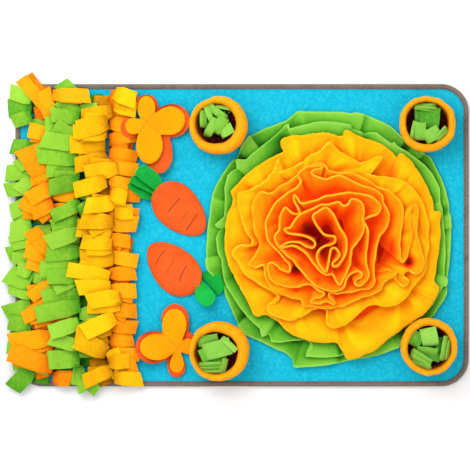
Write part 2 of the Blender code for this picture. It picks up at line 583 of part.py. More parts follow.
# ---- cups ---------------------------------------------------------------------------------------
def build_cups():
    for cup in rows_of(CUPS, CUP_COLUMNS):
        grid = []
        for row in rows_of(CUP_PROFILE, CUP_PROFILE_COLUMNS):
            growth = max(0.0, (row["height"] - CUP_UNEVEN_FROM) / CUP_UNEVEN_RISE)
            line = []
            for step in range(CUP_STEPS):
                turn = 2 * math.pi * step / CUP_STEPS
                off = turn - math.radians(cup["bulge"])
                swing = CUP_UNEVEN * growth * math.cos(off) * math.cos(2 * off)
                reach = row["radius"] * (1 + swing)
                line.append((cup["x"] + reach * math.cos(turn), cup["y"] + reach * math.sin(turn),
                             row["height"] + CUP_WAVE * growth * math.sin(2 * off)))
            grid.append(line)
        add_solid(f"cup_{cup['name']}", *sheet_around(grid, FLEECE, True), "cup_orange")
        tuft = StripRow(f"cup_tuft_{cup['name']}", (cup["x"], cup["y"]), cup["tuft_heading"] - 90,
                        TUFT_TAPE, rows_of(cup["tuft"], STRIP_COLUMNS), "fleece_green", TUFT_LOFT,
                        TUFT_ROOM)
        inside = HeightField()
        tuft.lay_tape(inside)
        for strip in sorted(tuft.strips, key=lambda strip: strip["turn"]):
            tuft.lay_strip(strip, inside)
        tuft.make()


# ---- butterflies --------------------------------------------------------------------------------
def lobe_reach(turn, lobe):
    """How far out a lobe reaches along a heading from the butterfly's middle, or 0 if it is missed."""
    way_x, way_y = math.cos(turn) / lobe["half_length"], math.sin(turn) / lobe["half_height"]
    off_x, off_y = lobe["dx"] / lobe["half_length"], lobe["dy"] / lobe["half_height"]
    square = way_x ** 2 + way_y ** 2
    mixed = way_x * off_x + way_y * off_y
    inside = mixed ** 2 - square * (off_x ** 2 + off_y ** 2 - 1)
    return (mixed + math.sqrt(inside)) / square if inside >= 0 and mixed > 0 else 0.0


def build_butterflies(field):
    for name, middle, lobes, seat, material in (
            ("butterfly_top_backing", BUTTERFLY_TOP, TOP_BACKING_LOBES, GAP, "felt_coral"),
            ("butterfly_top_wings", BUTTERFLY_TOP, TOP_WING_LOBES, GAP, "felt_yellow"),
            ("butterfly_bottom_backing", BUTTERFLY_BOTTOM, BOTTOM_BACKING_LOBES, GAP, "felt_coral"),
            ("butterfly_bottom_wings", BUTTERFLY_BOTTOM, BOTTOM_WING_LOBES, LOW_SEAT, "felt_yellow")):
        lobes = rows_of(lobes, LOBE_COLUMNS)
        plan = []
        for step in range(BUTTERFLY_STEPS):
            turn = 2 * math.pi * step / BUTTERFLY_STEPS
            plan.append((turn, max(BUTTERFLY_WAIST, *(lobe_reach(turn, lobe) for lobe in lobes))))
        rings = []
        for share in (INNER_RING, 1.0):
            ring = []
            for turn, reach in plan:
                x = middle[0] + share * reach * math.cos(turn)
                y = middle[1] + share * reach * math.sin(turn)
                lift = WING_LIFT * (share * reach / WING_SPAN) ** 2
                ring.append((x, y, max(FLOOR_OF_PIECES + lift, field.highest(x, y, WING_REST) + seat)))
            ring = np.array(ring)
            ring[:, 2] = np.max([np.roll(ring[:, 2], shift) for shift in range(-2, 3)], axis=0)
            rings.append(ring)
        centre = (*middle, field.highest(*middle, MIDDLE_REST) + seat)
        add_solid(name, *cut_out(centre, rings, APPLIQUE), material, field)


# ---- carrots ------------------------------------------------------------------------------------
def build_leaf(name, leaf, field):
    """A pointed oval from its root to its tip, lying on what is under it."""
    root = np.array((leaf["root_x"], leaf["root_y"]), dtype=float)
    way = np.array((leaf["tip_x"], leaf["tip_y"])) - root
    length = float(np.linalg.norm(way))
    way /= length
    side = np.array((-way[1], way[0]))
    middle = root + way * length * LEAF_MIDDLE
    rings = []
    for share in (INNER_RING, 1.0):
        ring = []
        for step in range(LEAF_STEPS):
            turn = 2 * math.pi * step / LEAF_STEPS
            forward = math.cos(turn) * length / 2
            wide = math.sin(turn) * leaf["width"] / 2 * (1.0 + LEAF_FULLNESS * math.cos(turn))
            spot = middle + share * (way * forward + side * wide)
            ring.append((*spot, field.highest(*spot, PIECE_REST) + GAP))
        rings.append(ring)
    centre = (*middle, field.highest(*middle, PIECE_REST) + GAP)
    add_solid(name, *cut_out(centre, rings, APPLIQUE), "felt_leaf", field)


def build_carrots(field):
    for carrot in rows_of(CARROTS, CARROT_COLUMNS):
        for number, leaf in enumerate(rows_of(carrot["leaves"], LEAF_COLUMNS), 1):
            build_leaf(f"carrot_{carrot['name']}_leaf_{number}", leaf, field)
        rings = []
        for share in (INNER_RING, 1.0):
            ring = []
            for step in range(CARROT_STEPS):
                turn = 2 * math.pi * step / CARROT_STEPS
                forward = CARROT_LENGTH / 2 * math.cos(turn)
                wide = CARROT_WIDTH / 2 * math.sin(turn) * (1 - CARROT_TAPER * math.cos(turn))
                off_x, off_y = turned(share * forward, share * wide, carrot["narrow_end"])
                x, y = carrot["x"] + off_x, carrot["y"] + off_y
                crown = CARROT_CROWN * (1 - share ** 2)
                ring.append((x, y, field.highest(x, y, PIECE_REST) + GAP + crown))
            rings.append(ring)
        centre = (carrot["x"], carrot["y"], FLOOR_OF_PIECES + CARROT_CROWN)
        add_solid(f"carrot_{carrot['name']}_body", *cut_out(centre, rings, FLEECE), "felt_coral", field)


# ---- flower -------------------------------------------------------------------------------------
def along_circle(turn, radius):
    return radius * math.cos(math.radians(turn)), radius * math.sin(math.radians(turn))


def fold_edge(folds):
    """Points of a ruffle's closed edge: two at each fold's crest and two at the valley after it."""
    corners = []
    for fold, following in zip(folds, folds[1:] + folds[:1]):
        span = (following["heading"] - fold["heading"]) % 360
        crest = fold["heading"] + fold["curl"] * span
        valley = fold["heading"] + 0.5 * span
        corners += [along_circle(crest - CREST_WIDTH * span, fold["crest"]),
                    along_circle(crest + CREST_WIDTH * span, fold["crest"]),
                    along_circle(valley - VALLEY_WIDTH * span, fold["valley"]),
                    along_circle(valley + VALLEY_WIDTH * span, fold["valley"])]
    return np.array(corners)


def evened(values, reach):
    """A closed run of values, each replaced by the mean of its neighbours on both sides."""
    return np.mean([np.roll(values, shift) for shift in range(-reach, reach + 1)], axis=0)


def radius_at(rows, turn):
    """Radius of a table of headings and radii at one heading in degrees."""
    headings = [row["heading"] for row in rows]
    radii = [row["radius"] for row in rows]
    return float(np.interp(turn % 360, headings + [360], radii + [radii[0]]))


def tuck_height(turn):
    """Height of the green rings' tucks: a slow rise that ends in a step."""
    rise = 0.0
    for end in TUCKS:
        before = end - turn
        if 0.0 < before < TUCK_FALL:
            rise = max(rise, before / TUCK_FALL)
        elif TUCK_FALL <= before <= TUCK_FALL + TUCK_SPAN:
            rise = max(rise, 1.0 - (before - TUCK_FALL) / TUCK_SPAN)
    return TUCK_RISE * rise


def build_leaf_ruffles(field):
    """Two flat green rings, one over the other, with tucks."""
    low = FLOOR_OF_PIECES + FLEECE / 2
    for number, table in enumerate((LEAF_RUFFLE_1, LEAF_RUFFLE_2)):
        rows = rows_of(table, EDGE_COLUMNS)
        grid = []
        for share in (0.0, 1.0):
            line = []
            for step in range(LEAF_RUFFLE_STEPS):
                turn = 360.0 * step / LEAF_RUFFLE_STEPS
                reach = LEAF_RUFFLE_ROOT + share * (radius_at(rows, turn) - LEAF_RUFFLE_ROOT)
                layer = FLEECE + LEAF_RUFFLE_GAP + share * LEAF_RUFFLE_LIFT
                height = low + tuck_height(turn) + number * layer
                line.append((FLOWER_X + reach * math.cos(math.radians(turn)),
                             FLOWER_Y + reach * math.sin(math.radians(turn)), height))
            grid.append(line)
        add_solid(f"flower_leaf_ruffle_{number + 1}", *sheet_around(grid, FLEECE), "ruffle_green", field)


def build_ruffles():
    """Gathered ruffles: each stands on its root line and leans out to its folded edge."""
    for number, ruffle in enumerate(rows_of(RUFFLES, RUFFLE_COLUMNS), 1):
        edge = fold_edge(rows_of(ruffle["folds"], FOLD_COLUMNS))
        radii = np.linalg.norm(edge, axis=1)
        even_turns = 2 * math.pi * np.arange(len(edge)) / len(edge)
        swing = np.unwrap(np.arctan2(edge[:, 1], edge[:, 0])) - even_turns
        turns = even_turns + evened(swing, SWING_EVENED)
        root_radii = ruffle["root_radius"] + ROOT_FOLLOW * (evened(radii, 1) - radii.mean())
        root = np.stack([root_radii * np.cos(turns), root_radii * np.sin(turns)], axis=1)
        off = np.array((WHORL_X, WHORL_Y)) * (number / len(RUFFLES)) ** 2
        grid = []
        for row in rows_of(LEAN, LEAN_COLUMNS):
            plan = root + row["spread"] * (edge - root) + off
            height = FLOOR_OF_PIECES + row["rise"] * ruffle["height"]
            grid.append([(FLOWER_X + x, FLOWER_Y + y, height) for x, y in plan])
        add_solid(f"flower_ruffle_{number}", *sheet_around(grid, FLEECE, True), "ruffle_yellow")


def main():
    for leftover in list(bpy.data.objects):
        bpy.data.objects.remove(leftover, do_unlink=True)
    field = HeightField()
    build_base(field)
    build_binding(field)
    build_leaf_ruffles(field)
    build_strips(field)
    build_butterflies(field)
    build_carrots(field)
    build_cups()
    build_ruffles()


main()
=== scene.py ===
"""Looks of a fleece snuffle mat: plush panel, bound edge, strips, cups, cut-out figures and a ruffled flower.

Every piece is cloth. Sizes are millimetres and degrees unless a name says metres; headings are counted
anticlockwise from +X, seen from above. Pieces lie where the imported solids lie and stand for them.
"""

import logging
import math
from dataclasses import dataclass
from enum import Enum

import bmesh
import bpy
import numpy as np
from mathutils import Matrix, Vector, noise
from mathutils.bvhtree import BVHTree


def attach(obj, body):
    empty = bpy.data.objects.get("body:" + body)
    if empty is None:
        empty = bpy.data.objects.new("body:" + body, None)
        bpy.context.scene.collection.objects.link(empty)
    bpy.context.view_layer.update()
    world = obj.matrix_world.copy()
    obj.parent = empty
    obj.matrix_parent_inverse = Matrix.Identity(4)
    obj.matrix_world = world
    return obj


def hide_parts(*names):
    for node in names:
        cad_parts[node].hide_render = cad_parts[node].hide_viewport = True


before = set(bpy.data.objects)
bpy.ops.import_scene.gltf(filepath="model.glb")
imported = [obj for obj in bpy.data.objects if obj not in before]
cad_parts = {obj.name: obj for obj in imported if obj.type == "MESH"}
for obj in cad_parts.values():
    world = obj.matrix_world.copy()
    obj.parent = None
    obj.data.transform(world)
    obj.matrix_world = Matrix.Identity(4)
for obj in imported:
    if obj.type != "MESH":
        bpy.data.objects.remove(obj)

MM = 0.001
BODY = "root"
LOG = logging.getLogger("snuffle_mat")
# without a seed of its own, noise_vector takes the time of day and the cloth's unevenness changes each run
noise.seed_set(7)


class Slot(str, Enum):
    """The record's material slots."""

    PLUSH = "plush_blue"
    BINDING = "binding_grey"
    STRIP_GREEN = "fleece_green"
    STRIP_YELLOW = "fleece_yellow"
    STRIP_ORANGE = "fleece_orange"
    CORAL = "felt_coral"
    WING = "felt_yellow"
    LEAF = "felt_leaf"
    CUP = "cup_orange"
    RUFFLE_GREEN = "ruffle_green"
    RUFFLE_YELLOW = "ruffle_yellow"


class Held(str, Enum):
    """How a sheet of cloth is held."""

    LAID = "laid"
    GATHERED = "gathered"
    FOLDED = "folded"


# ---- colour and nodes ---------------------------------------------------------------------------
def linear(code: str) -> tuple[float, float, float, float]:
    """Turns an sRGB hex colour to linear light.

    Args:
        code: six hex digits after a hash.

    Returns:
        Red, green, blue and a full alpha.
    """
    parts = [int(code[i:i + 2], 16) / 255 for i in (1, 3, 5)]
    red, green, blue = [p / 12.92 if p <= 0.04045 else ((p + 0.055) / 1.055) ** 2.4 for p in parts]
    return red, green, blue, 1.0


def add_node(tree: bpy.types.NodeTree, kind: str, inputs: dict | None = None,
             **settings: object) -> bpy.types.Node:
    """Adds a node with its settings, its values and its links.

    Args:
        tree: the node tree that takes the node.
        kind: the node's type.
        inputs: a value, or another node's output, for each input by name or place.
        settings: the node's own properties.

    Returns:
        The new node.
    """
    made = tree.nodes.new(kind)
    for name, value in settings.items():
        setattr(made, name, value)
    for key, value in (inputs or {}).items():
        if isinstance(value, bpy.types.NodeSocket):
            tree.links.new(value, made.inputs[key])
        else:
            made.inputs[key].default_value = value
    return made


def blank_material(name: str, values: dict) -> tuple[bpy.types.Material, bpy.types.NodeTree, bpy.types.Node]:
    """Makes a material with only a shader and an output.

    Args:
        name: the material's name.
        values: what the shader's own sockets are set to.

    Returns:
        The material, its tree and its shader.
    """
    made = bpy.data.materials.new(name)
    made.use_nodes = True
    tree = made.node_tree
    tree.nodes.clear()
    shader = add_node(tree, "ShaderNodeBsdfPrincipled", values)
    add_node(tree, "ShaderNodeOutputMaterial", {"Surface": shader.outputs[0]})
    return made, tree, shader


def set_stops(ramp: bpy.types.Node, *stops: tuple[float, str]) -> None:
    """Gives a colour ramp its places and colours.

    Args:
        ramp: the ramp's node.
        stops: place and colour of each stop, the two ends first.
    """
    made = ramp.color_ramp.elements
    for place, _ in stops[2:]:
        made.new(place)
    for element, (place, code) in zip(made, sorted(stops)):
        element.position, element.color = place, linear(code)


def per_metre(size_mm: float) -> float:
    """Scale of a noise whose blobs measure size_mm."""
    return 1000.0 / size_mm


@dataclass(frozen=True)
class Nap:
    """Brushed knitted polyester, fleece or plush: matt, with a soft bright rim and a mottled face.

    The shade attribute picks the colour, painted shade: 0 is the lit face, 1 the shaded bottom of a fold,
    1.33 the painted shadow down a hole.
    """

    name: str
    slot: Slot
    # the lit colour and the plain face's, then painted shade: in folds, at the darkest, and the painted
    # shadow down a hole
    lit: str
    face: str
    fold: str
    dark: str
    hole_shadow: str = "#2A0804"
    mottle_mm: float = 9.0
    mottle_share: float = 0.30
    nap_mm: float = 2.2
    nap_height_mm: float = 0.7
    sheen: float = 0.35
    roughness: float = 0.95
    # painted glow: deep painted shade gives off its own colour as light, standing in for light that thin
    # cloth lets through, which keeps its folds from going black
    painted_glow: float = 0.0

    def material(self) -> bpy.types.Material:
        """Builds the material.

        Returns:
            The material.
        """
        made, tree, shader = blank_material(self.name, {
            "Roughness": self.roughness, "Specular IOR Level": 0.15, "Sheen Weight": self.sheen,
            "Sheen Roughness": 0.6, "Sheen Tint": linear(self.lit)})
        place = add_node(tree, "ShaderNodeTexCoord").outputs["Object"]
        shade = add_node(tree, "ShaderNodeAttribute", attribute_name="shade").outputs["Fac"]
        mottle = add_node(tree, "ShaderNodeTexNoise", {
            "Vector": place, "Scale": per_metre(self.mottle_mm), "Detail": 4.0, "Roughness": 0.65}).outputs[0]
        nap = add_node(tree, "ShaderNodeTexNoise", {
            "Vector": place, "Scale": per_metre(self.nap_mm), "Detail": 2.0, "Roughness": 0.6}).outputs[0]
        total = shade
        for blobs, reach in ((mottle, self.mottle_share / 2), (nap, self.mottle_share / 3)):
            spread = add_node(tree, "ShaderNodeMapRange", {
                "Value": blobs, "From Min": 0.3, "From Max": 0.7,
                "To Min": -reach, "To Max": reach}).outputs[0]
            total = add_node(tree, "ShaderNodeMath", {0: total, 1: spread}, operation="ADD").outputs[0]
        scaled = add_node(tree, "ShaderNodeMath", {0: total, 1: 0.75}, operation="MULTIPLY").outputs[0]
        ramp = add_node(tree, "ShaderNodeValToRGB", {"Fac": scaled})
        set_stops(ramp, (0.0, self.lit), (1.0, self.hole_shadow),
                  (0.25, self.face), (0.52, self.fold), (0.76, self.dark))
        tree.links.new(ramp.outputs[0], shader.inputs["Base Color"])
        bump = add_node(tree, "ShaderNodeBump", {
            "Height": nap, "Strength": 0.6, "Distance": self.nap_height_mm * MM}).outputs[0]
        tree.links.new(bump, shader.inputs["Normal"])
        # painted glow, stronger where the painted shade is deeper
        if self.painted_glow:
            deep = add_node(tree, "ShaderNodeMapRange", {
                "Value": shade, "From Min": 0.5, "From Max": 1.0, "To Max": self.painted_glow}).outputs[0]
            tree.links.new(ramp.outputs[0], shader.inputs["Emission Color"])
            tree.links.new(deep, shader.inputs["Emission Strength"])
        return made


@dataclass(frozen=True)
class TwillTape:
    """Woven polyester tape: a dull ribbed face with fine diagonal lines."""

    name: str
    slot: Slot
    body: str
    shade: str
    # the real twill is 0.5 mm, too fine for the picture, so it is drawn at 2.5 mm
    rib_mm: float = 2.5

    def material(self) -> bpy.types.Material:
        """Builds the material.

        Returns:
            The material.
        """
        made, tree, shader = blank_material(self.name, {"Roughness": 0.85, "Specular IOR Level": 0.2})
        place = add_node(tree, "ShaderNodeTexCoord").outputs["Object"]
        ribs = add_node(tree, "ShaderNodeTexWave", {
            "Vector": place, "Scale": per_metre(self.rib_mm) / 2, "Distortion": 1.5, "Detail": 1.0},
            bands_direction="DIAGONAL").outputs[1]
        patch = add_node(tree, "ShaderNodeTexNoise", {"Vector": place, "Scale": per_metre(14.0)}).outputs[0]
        mixed = add_node(tree, "ShaderNodeMath", {0: ribs, 1: patch}, operation="MULTIPLY").outputs[0]
        colour = add_node(tree, "ShaderNodeValToRGB", {"Fac": mixed})
        set_stops(colour, (0.05, self.shade), (0.45, self.body))
        tree.links.new(colour.outputs[0], shader.inputs["Base Color"])
        bump = add_node(tree, "ShaderNodeBump", {
            "Height": ribs, "Strength": 0.35, "Distance": 0.3 * MM}).outputs[0]
        tree.links.new(bump, shader.inputs["Normal"])
        return made


@dataclass(frozen=True)
class Thread:
    """Spun polyester sewing thread: thin, faintly shiny and twisted."""

    name: str
    slot: Slot
    colour: str
    twist_mm: float = 1.2

    def material(self) -> bpy.types.Material:
        """Builds the material.

        Returns:
            The material.
        """
        made, tree, shader = blank_material(self.name, {"Base Color": linear(self.colour), "Roughness": 0.6})
        place = add_node(tree, "ShaderNodeTexCoord").outputs["Object"]
        twist = add_node(tree, "ShaderNodeTexWave", {
            "Vector": place, "Scale": per_metre(self.twist_mm)}, bands_direction="DIAGONAL").outputs[1]
        bump = add_node(tree, "ShaderNodeBump", {
            "Height": twist, "Strength": 0.3, "Distance": 0.15 * MM}).outputs[0]
        tree.links.new(bump, shader.inputs["Normal"])
        return made


# each fleece's colours: its lit face and plain face, then its painted shade in folds, at the darkest and down
# holes
PLUSH = Nap("brushed_plush_cyan", Slot.PLUSH, "#3CC6DE", "#10B6D4", "#04A4C8", "#0084AA",
            mottle_mm=7.0, mottle_share=0.4, nap_mm=3.2, nap_height_mm=1.0, sheen=0.2)
TAPE = TwillTape("woven_tape_grey", Slot.BINDING, "#8E8074", "#5E5248")
GREEN = Nap("fleece_apple_green", Slot.STRIP_GREEN, "#9CCE40", "#86C030", "#4E981C", "#1E6408", "#0A2A04",
            mottle_share=0.2)
YELLOW = Nap("fleece_sun_yellow", Slot.STRIP_YELLOW, "#FFC80E", "#F6B802", "#D48E00", "#8A4E00", "#4A2400",
             mottle_share=0.2)
ORANGE = Nap("fleece_orange", Slot.STRIP_ORANGE, "#FFB010", "#FC9C04", "#EA7400", "#A43C00", "#4A1C00",
             mottle_share=0.2)
CORAL = Nap("fleece_coral", Slot.CORAL, "#EE6429", "#E4571B", "#CC4410", "#962806",
            mottle_share=0.16, sheen=0.2)
WING = Nap("fleece_marigold", Slot.WING, "#FFA800", "#FC9E00", "#E08200", "#B06000",
           mottle_share=0.08, sheen=0.15)
LEAF = Nap("fleece_leaf_green", Slot.LEAF, "#24C456", "#10A83A", "#078A2A", "#044C14", "#02280A",
           mottle_share=0.2)
TUFT = Nap("fleece_cup_green", Slot.STRIP_GREEN, "#94D054", "#78BC3C", "#409022", "#1C5C0C", "#0A2A04",
           mottle_share=0.2)
# the cups' fleece, with a faint painted glow in its deepest painted shade
CUP = Nap("fleece_tangerine", Slot.CUP, "#FFB01C", "#FC9C06", "#E46800", "#8A2604", "#2A0C04", painted_glow=0.05)
RUFFLE_GREEN = Nap("fleece_ruffle_green", Slot.RUFFLE_GREEN, "#90D04E", "#78C038", "#4E9E20", "#246C0A",
                   "#0A2A04", mottle_share=0.12)
# painted highlight: a lighter copy of the ruffle green for the cut edge, which catches the light
RUFFLE_EDGE_HIGHLIGHT = Nap("fleece_ruffle_cut_edge_highlight", Slot.RUFFLE_GREEN, "#B4E87A", "#9CDC5C", "#78C440", "#3E8A1C",
                  mottle_share=0.12)
# the petals' fleece, with a painted glow in its deepest painted shade
PETAL = Nap("fleece_petal", Slot.RUFFLE_YELLOW, "#FFC604", "#FF9C00", "#FF6200", "#DE1000", "#480E06",
            mottle_mm=14.0, mottle_share=0.1, nap_mm=1.8, nap_height_mm=0.3, painted_glow=0.17)
# painted highlight: a lighter copy of the petal fleece for the cut edge, which catches the light
PETAL_EDGE_HIGHLIGHT = Nap("fleece_petal_cut_edge_highlight", Slot.RUFFLE_YELLOW, "#FFD434", "#FFBC20", "#FF9E18", "#F07810",
                 mottle_mm=14.0, mottle_share=0.1, nap_mm=1.8, nap_height_mm=0.3)
STITCH_GREY = Thread("thread_grey", Slot.BINDING, "#4A403C")
STITCH_AMBER = Thread("thread_amber", Slot.WING, "#D88600")
STITCH_UMBER = Thread("thread_umber", Slot.CORAL, "#6E2408")

MATERIALS: dict[str, bpy.types.Material] = {}


def finish_of(finish: Nap | TwillTape | Thread) -> bpy.types.Material:
    """Finds a finish's material, which is built the first time that it is asked for.

    Args:
        finish: the finish.

    Returns:
        Its material.
    """
    if finish.name not in MATERIALS:
        MATERIALS[finish.name] = finish.material()
    return MATERIALS[finish.name]


# ---- meshes -------------------------------------------------------------------------------------
def new_object(name: str, vertices: np.ndarray, faces: list[tuple[int, ...]]) -> bpy.types.Object:
    """Makes a mesh object at the origin.

    Args:
        name: the piece's name.
        vertices: a row for each vertex, in metres.
        faces: vertex numbers of each face.

    Returns:
        The linked object.
    """
    mesh = bpy.data.meshes.new(name)
    mesh.from_pydata([tuple(v) for v in vertices], [], faces)
    mesh.update()
    made = bpy.data.objects.new(name, mesh)
    bpy.context.scene.collection.objects.link(made)
    return made


def settled(piece: bpy.types.Object) -> bpy.types.Object:
    """Turns a piece's live modifiers into plain mesh.

    Args:
        piece: the object whose modifiers are applied.

    Returns:
        The same object.
    """
    graph = bpy.context.evaluated_depsgraph_get()
    graph.update()
    mesh = bpy.data.meshes.new_from_object(piece.evaluated_get(graph), depsgraph=graph)
    piece.modifiers.clear()
    old = piece.data
    piece.data = mesh
    bpy.data.meshes.remove(old)
    return piece


def points_of(piece: bpy.types.Object) -> np.ndarray:
    """Reads a piece's vertices.

    Args:
        piece: the piece.

    Returns:
        A row for each vertex, in metres.
    """
    flat = np.zeros(len(piece.data.vertices) * 3, np.float32)
    piece.data.vertices.foreach_get("co", flat)
    return flat.reshape(-1, 3).astype(float)


def put_points(piece: bpy.types.Object, points: np.ndarray) -> None:
    """Gives the piece's vertices new places."""
    piece.data.vertices.foreach_set("co", points.astype(np.float32).ravel())
    piece.data.update()


def put_shade(piece: bpy.types.Object, values: np.ndarray) -> None:
    """Writes the shade attribute, a number for each vertex."""
    mark = piece.data.attributes.get("shade") or piece.data.attributes.new("shade", "FLOAT", "POINT")
    mark.data.foreach_set("value", values.astype(np.float32))


def cloth_area(piece: bpy.types.Object) -> float:
    """Half of a closed sheet's surface, which is the cloth in it, in square metres."""
    return sum(face.area for face in piece.data.polygons) / 2


def swell(points: np.ndarray, size_mm: float, height_mm: float, seed: float) -> np.ndarray:
    """Soft unevenness for each point.

    Args:
        points: places in metres.
        size_mm: how wide the swells are.
        height_mm: how far they reach each way.
        seed: another value gives another pattern.

    Returns:
        A shift for each point, in metres.
    """
    scale = per_metre(size_mm)
    offset = Vector((seed, -seed, seed / 2))
    rows = [noise.noise_vector(Vector(p) * scale + offset) for p in points]
    return np.array(rows, float) * height_mm * MM


def smooth_faces(piece: bpy.types.Object) -> None:
    """Shades every face smooth."""
    piece.data.polygons.foreach_set("use_smooth", [True] * len(piece.data.polygons))


def turn_out(piece: bpy.types.Object) -> None:
    """Turns every face of a closed mesh outwards.

    Args:
        piece: the closed mesh.
    """
    work = bmesh.new()
    work.from_mesh(piece.data)
    bmesh.ops.recalc_face_normals(work, faces=work.faces)
    work.to_mesh(piece.data)
    work.free()


def slab_faces(rows: int, wide: int, start: int = 0) -> list[tuple[int, ...]]:
    """Faces of two grids of points and the rim between them.

    Args:
        rows: how many rows of points each grid has.
        wide: how many points a row has.
        start: the number of the first point.

    Returns:
        The faces, pointing outwards where the second grid lies over the first.
    """
    faces = []
    layer = rows * wide
    for j in range(rows - 1):
        for a in range(start + j * wide, start + (j + 1) * wide - 1):
            faces.append((a, a + wide, a + wide + 1, a + 1))
            faces.append((layer + a, layer + a + 1, layer + a + wide + 1, layer + a + wide))
    rim = [*range(wide), *range(2 * wide - 1, layer, wide), *range(layer - 2, layer - wide - 1, -1),
           *range(layer - 2 * wide, 0, -wide)]
    for here, after in zip(rim, rim[1:] + rim[:1]):
        here, after = start + here, start + after
        faces.append((here, after, layer + after, layer + here))
    return faces


def ring_faces(rings: int, steps: int, closed: bool = False, inward: bool = False) -> list[tuple[int, ...]]:
    """Faces between closed rings of points.

    Args:
        rings: how many rings there are.
        steps: how many points a ring has.
        closed: whether the last ring joins the first.
        inward: whether the faces point the other way.

    Returns:
        The faces.
    """
    faces = []
    for j in range(rings if closed else rings - 1):
        a, b = j * steps, (j + 1) % rings * steps
        for i in range(steps):
            after = (i + 1) % steps
            face = (a + i, a + after, b + after, b + i)
            faces.append((face[0], face[3], face[2], face[1]) if inward else face)
    return faces


def cloth_piece(name: str, spots: np.ndarray, faces: list[tuple[int, ...]], shade: np.ndarray, *finishes: Nap,
                wall_mm: float = 0.0, levels: int = 0, crisp: float = 0.0,
                outward: bool = False) -> bpy.types.Object:
    """Makes a piece of cloth with its shade and its finishes.

    Args:
        name: the piece's name.
        spots: a row for each vertex, in metres.
        faces: vertex numbers of each face.
        shade: the shade of each vertex.
        finishes: the cloth's finish and, where it has one, its cut edge's.
        wall_mm: the cloth's thickness, where spots lie in its middle.
        levels: how often it is subdivided before it gets its thickness.
        crisp: the angle in degrees past which an edge stays crisp.
        outward: whether its faces have yet to be turned outwards.

    Returns:
        The piece.
    """
    piece = new_object(name, spots, faces)
    if outward:
        turn_out(piece)
    put_shade(piece, shade)
    for finish in finishes:
        piece.data.materials.append(finish_of(finish))
    if levels:
        rounded = piece.modifiers.new("rounded", "SUBSURF")
        rounded.levels = rounded.render_levels = levels
    if wall_mm:
        wall = piece.modifiers.new("cloth", "SOLIDIFY")
        wall.thickness, wall.offset, wall.use_rim = wall_mm * MM, 0.0, True
        wall.material_offset_rim = len(finishes) - 1
        settled(piece)
    smooth_faces(piece)
    if crisp:
        piece.data.set_sharp_from_angle(angle=math.radians(crisp))
    return piece


def hand_over(piece: bpy.types.Object, node: str, cut_width_mm: float) -> None:
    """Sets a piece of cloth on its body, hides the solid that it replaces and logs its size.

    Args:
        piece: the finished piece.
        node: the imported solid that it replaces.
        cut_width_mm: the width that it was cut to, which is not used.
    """
    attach(piece, BODY)
    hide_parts(node)
    width, area = cut_width_mm * MM, cloth_area(piece)
    LOG.info("%s: %d faces, %.4f m2, %.0f mm high", piece.name, len(piece.data.polygons), area,
             points_of(piece)[:, 2].max() / MM)


# ---- stitching ----------------------------------------------------------------------------------
@dataclass(frozen=True)
class Stitching:
    """A line of machine stitches, laid by geometry nodes along the lines that it is given."""

    name: str
    thread: Thread
    stitch_mm: float = 4.2
    gap_mm: float = 1.6
    radius_mm: float = 0.55

    def tree(self) -> bpy.types.GeometryNodeTree:
        """Builds the node tree: lines in, stitches out.

        Returns:
            The tree, whose sizes are the modifier's to set.
        """
        tree = bpy.data.node_groups.new(self.name, "GeometryNodeTree")
        face = tree.interface
        face.new_socket(name="Lines", in_out="INPUT", socket_type="NodeSocketGeometry")
        for label in ("Spacing", "Length", "Radius"):
            face.new_socket(name=label, in_out="INPUT", socket_type="NodeSocketFloat")
        face.new_socket(name="Stitches", in_out="OUTPUT", socket_type="NodeSocketGeometry")
        given = add_node(tree, "NodeGroupInput").outputs
        curve = add_node(tree, "GeometryNodeMeshToCurve", {"Mesh": given["Lines"]}).outputs[0]
        spots = add_node(tree, "GeometryNodeResampleCurve", {
            "Curve": curve, "Length": given["Spacing"]}, mode="LENGTH").outputs[0]
        way = add_node(tree, "GeometryNodeInputTangent").outputs[0]
        turn = add_node(tree, "FunctionNodeAlignRotationToVector", {"Vector": way}, axis="Z").outputs[0]
        bead = add_node(tree, "GeometryNodeMeshUVSphere", {"Segments": 8, "Rings": 5, "Radius": 1.0})
        half = add_node(tree, "ShaderNodeMath", {0: given["Length"], 1: 0.5}, operation="MULTIPLY")
        size = add_node(tree, "ShaderNodeCombineXYZ", {
            "X": given["Radius"], "Y": given["Radius"], "Z": half.outputs[0]})
        laid = add_node(tree, "GeometryNodeInstanceOnPoints", {
            "Points": spots, "Instance": bead.outputs["Mesh"], "Rotation": turn, "Scale": size.outputs[0]})
        real = add_node(tree, "GeometryNodeRealizeInstances", {"Geometry": laid.outputs[0]})
        dyed = add_node(tree, "GeometryNodeSetMaterial", {
            "Geometry": real.outputs[0], "Material": finish_of(self.thread)})
        add_node(tree, "NodeGroupOutput", {"Stitches": dyed.outputs[0]})
        return tree

    def sew(self, name: str, lines: list[list[tuple[float, float, float]]]) -> None:
        """Lays the stitches, all of them one mesh.

        Args:
            name: the piece's name.
            lines: the places that each line runs through, in metres.
        """
        mesh = bpy.data.meshes.new(name)
        points = [p for line in lines for p in line]
        edges = []
        start = 0
        for line in lines:
            edges += [(start + i, start + i + 1) for i in range(len(line) - 1)]
            start += len(line)
        mesh.from_pydata(points, edges, [])
        piece = bpy.data.objects.new(name, mesh)
        bpy.context.scene.collection.objects.link(piece)
        modifier = piece.modifiers.new("stitches", "NODES")
        tree = self.tree()
        modifier.node_group = tree
        sizes = {"Spacing": self.stitch_mm + self.gap_mm, "Length": self.stitch_mm, "Radius": self.radius_mm}
        for item in tree.interface.items_tree:
            if item.in_out == "INPUT" and item.name in sizes:
                modifier[item.identifier] = sizes[item.name] * MM
        settled(piece)
        smooth_faces(piece)
        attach(piece, BODY)
        LOG.info("%s: %d faces", piece.name, len(piece.data.polygons))


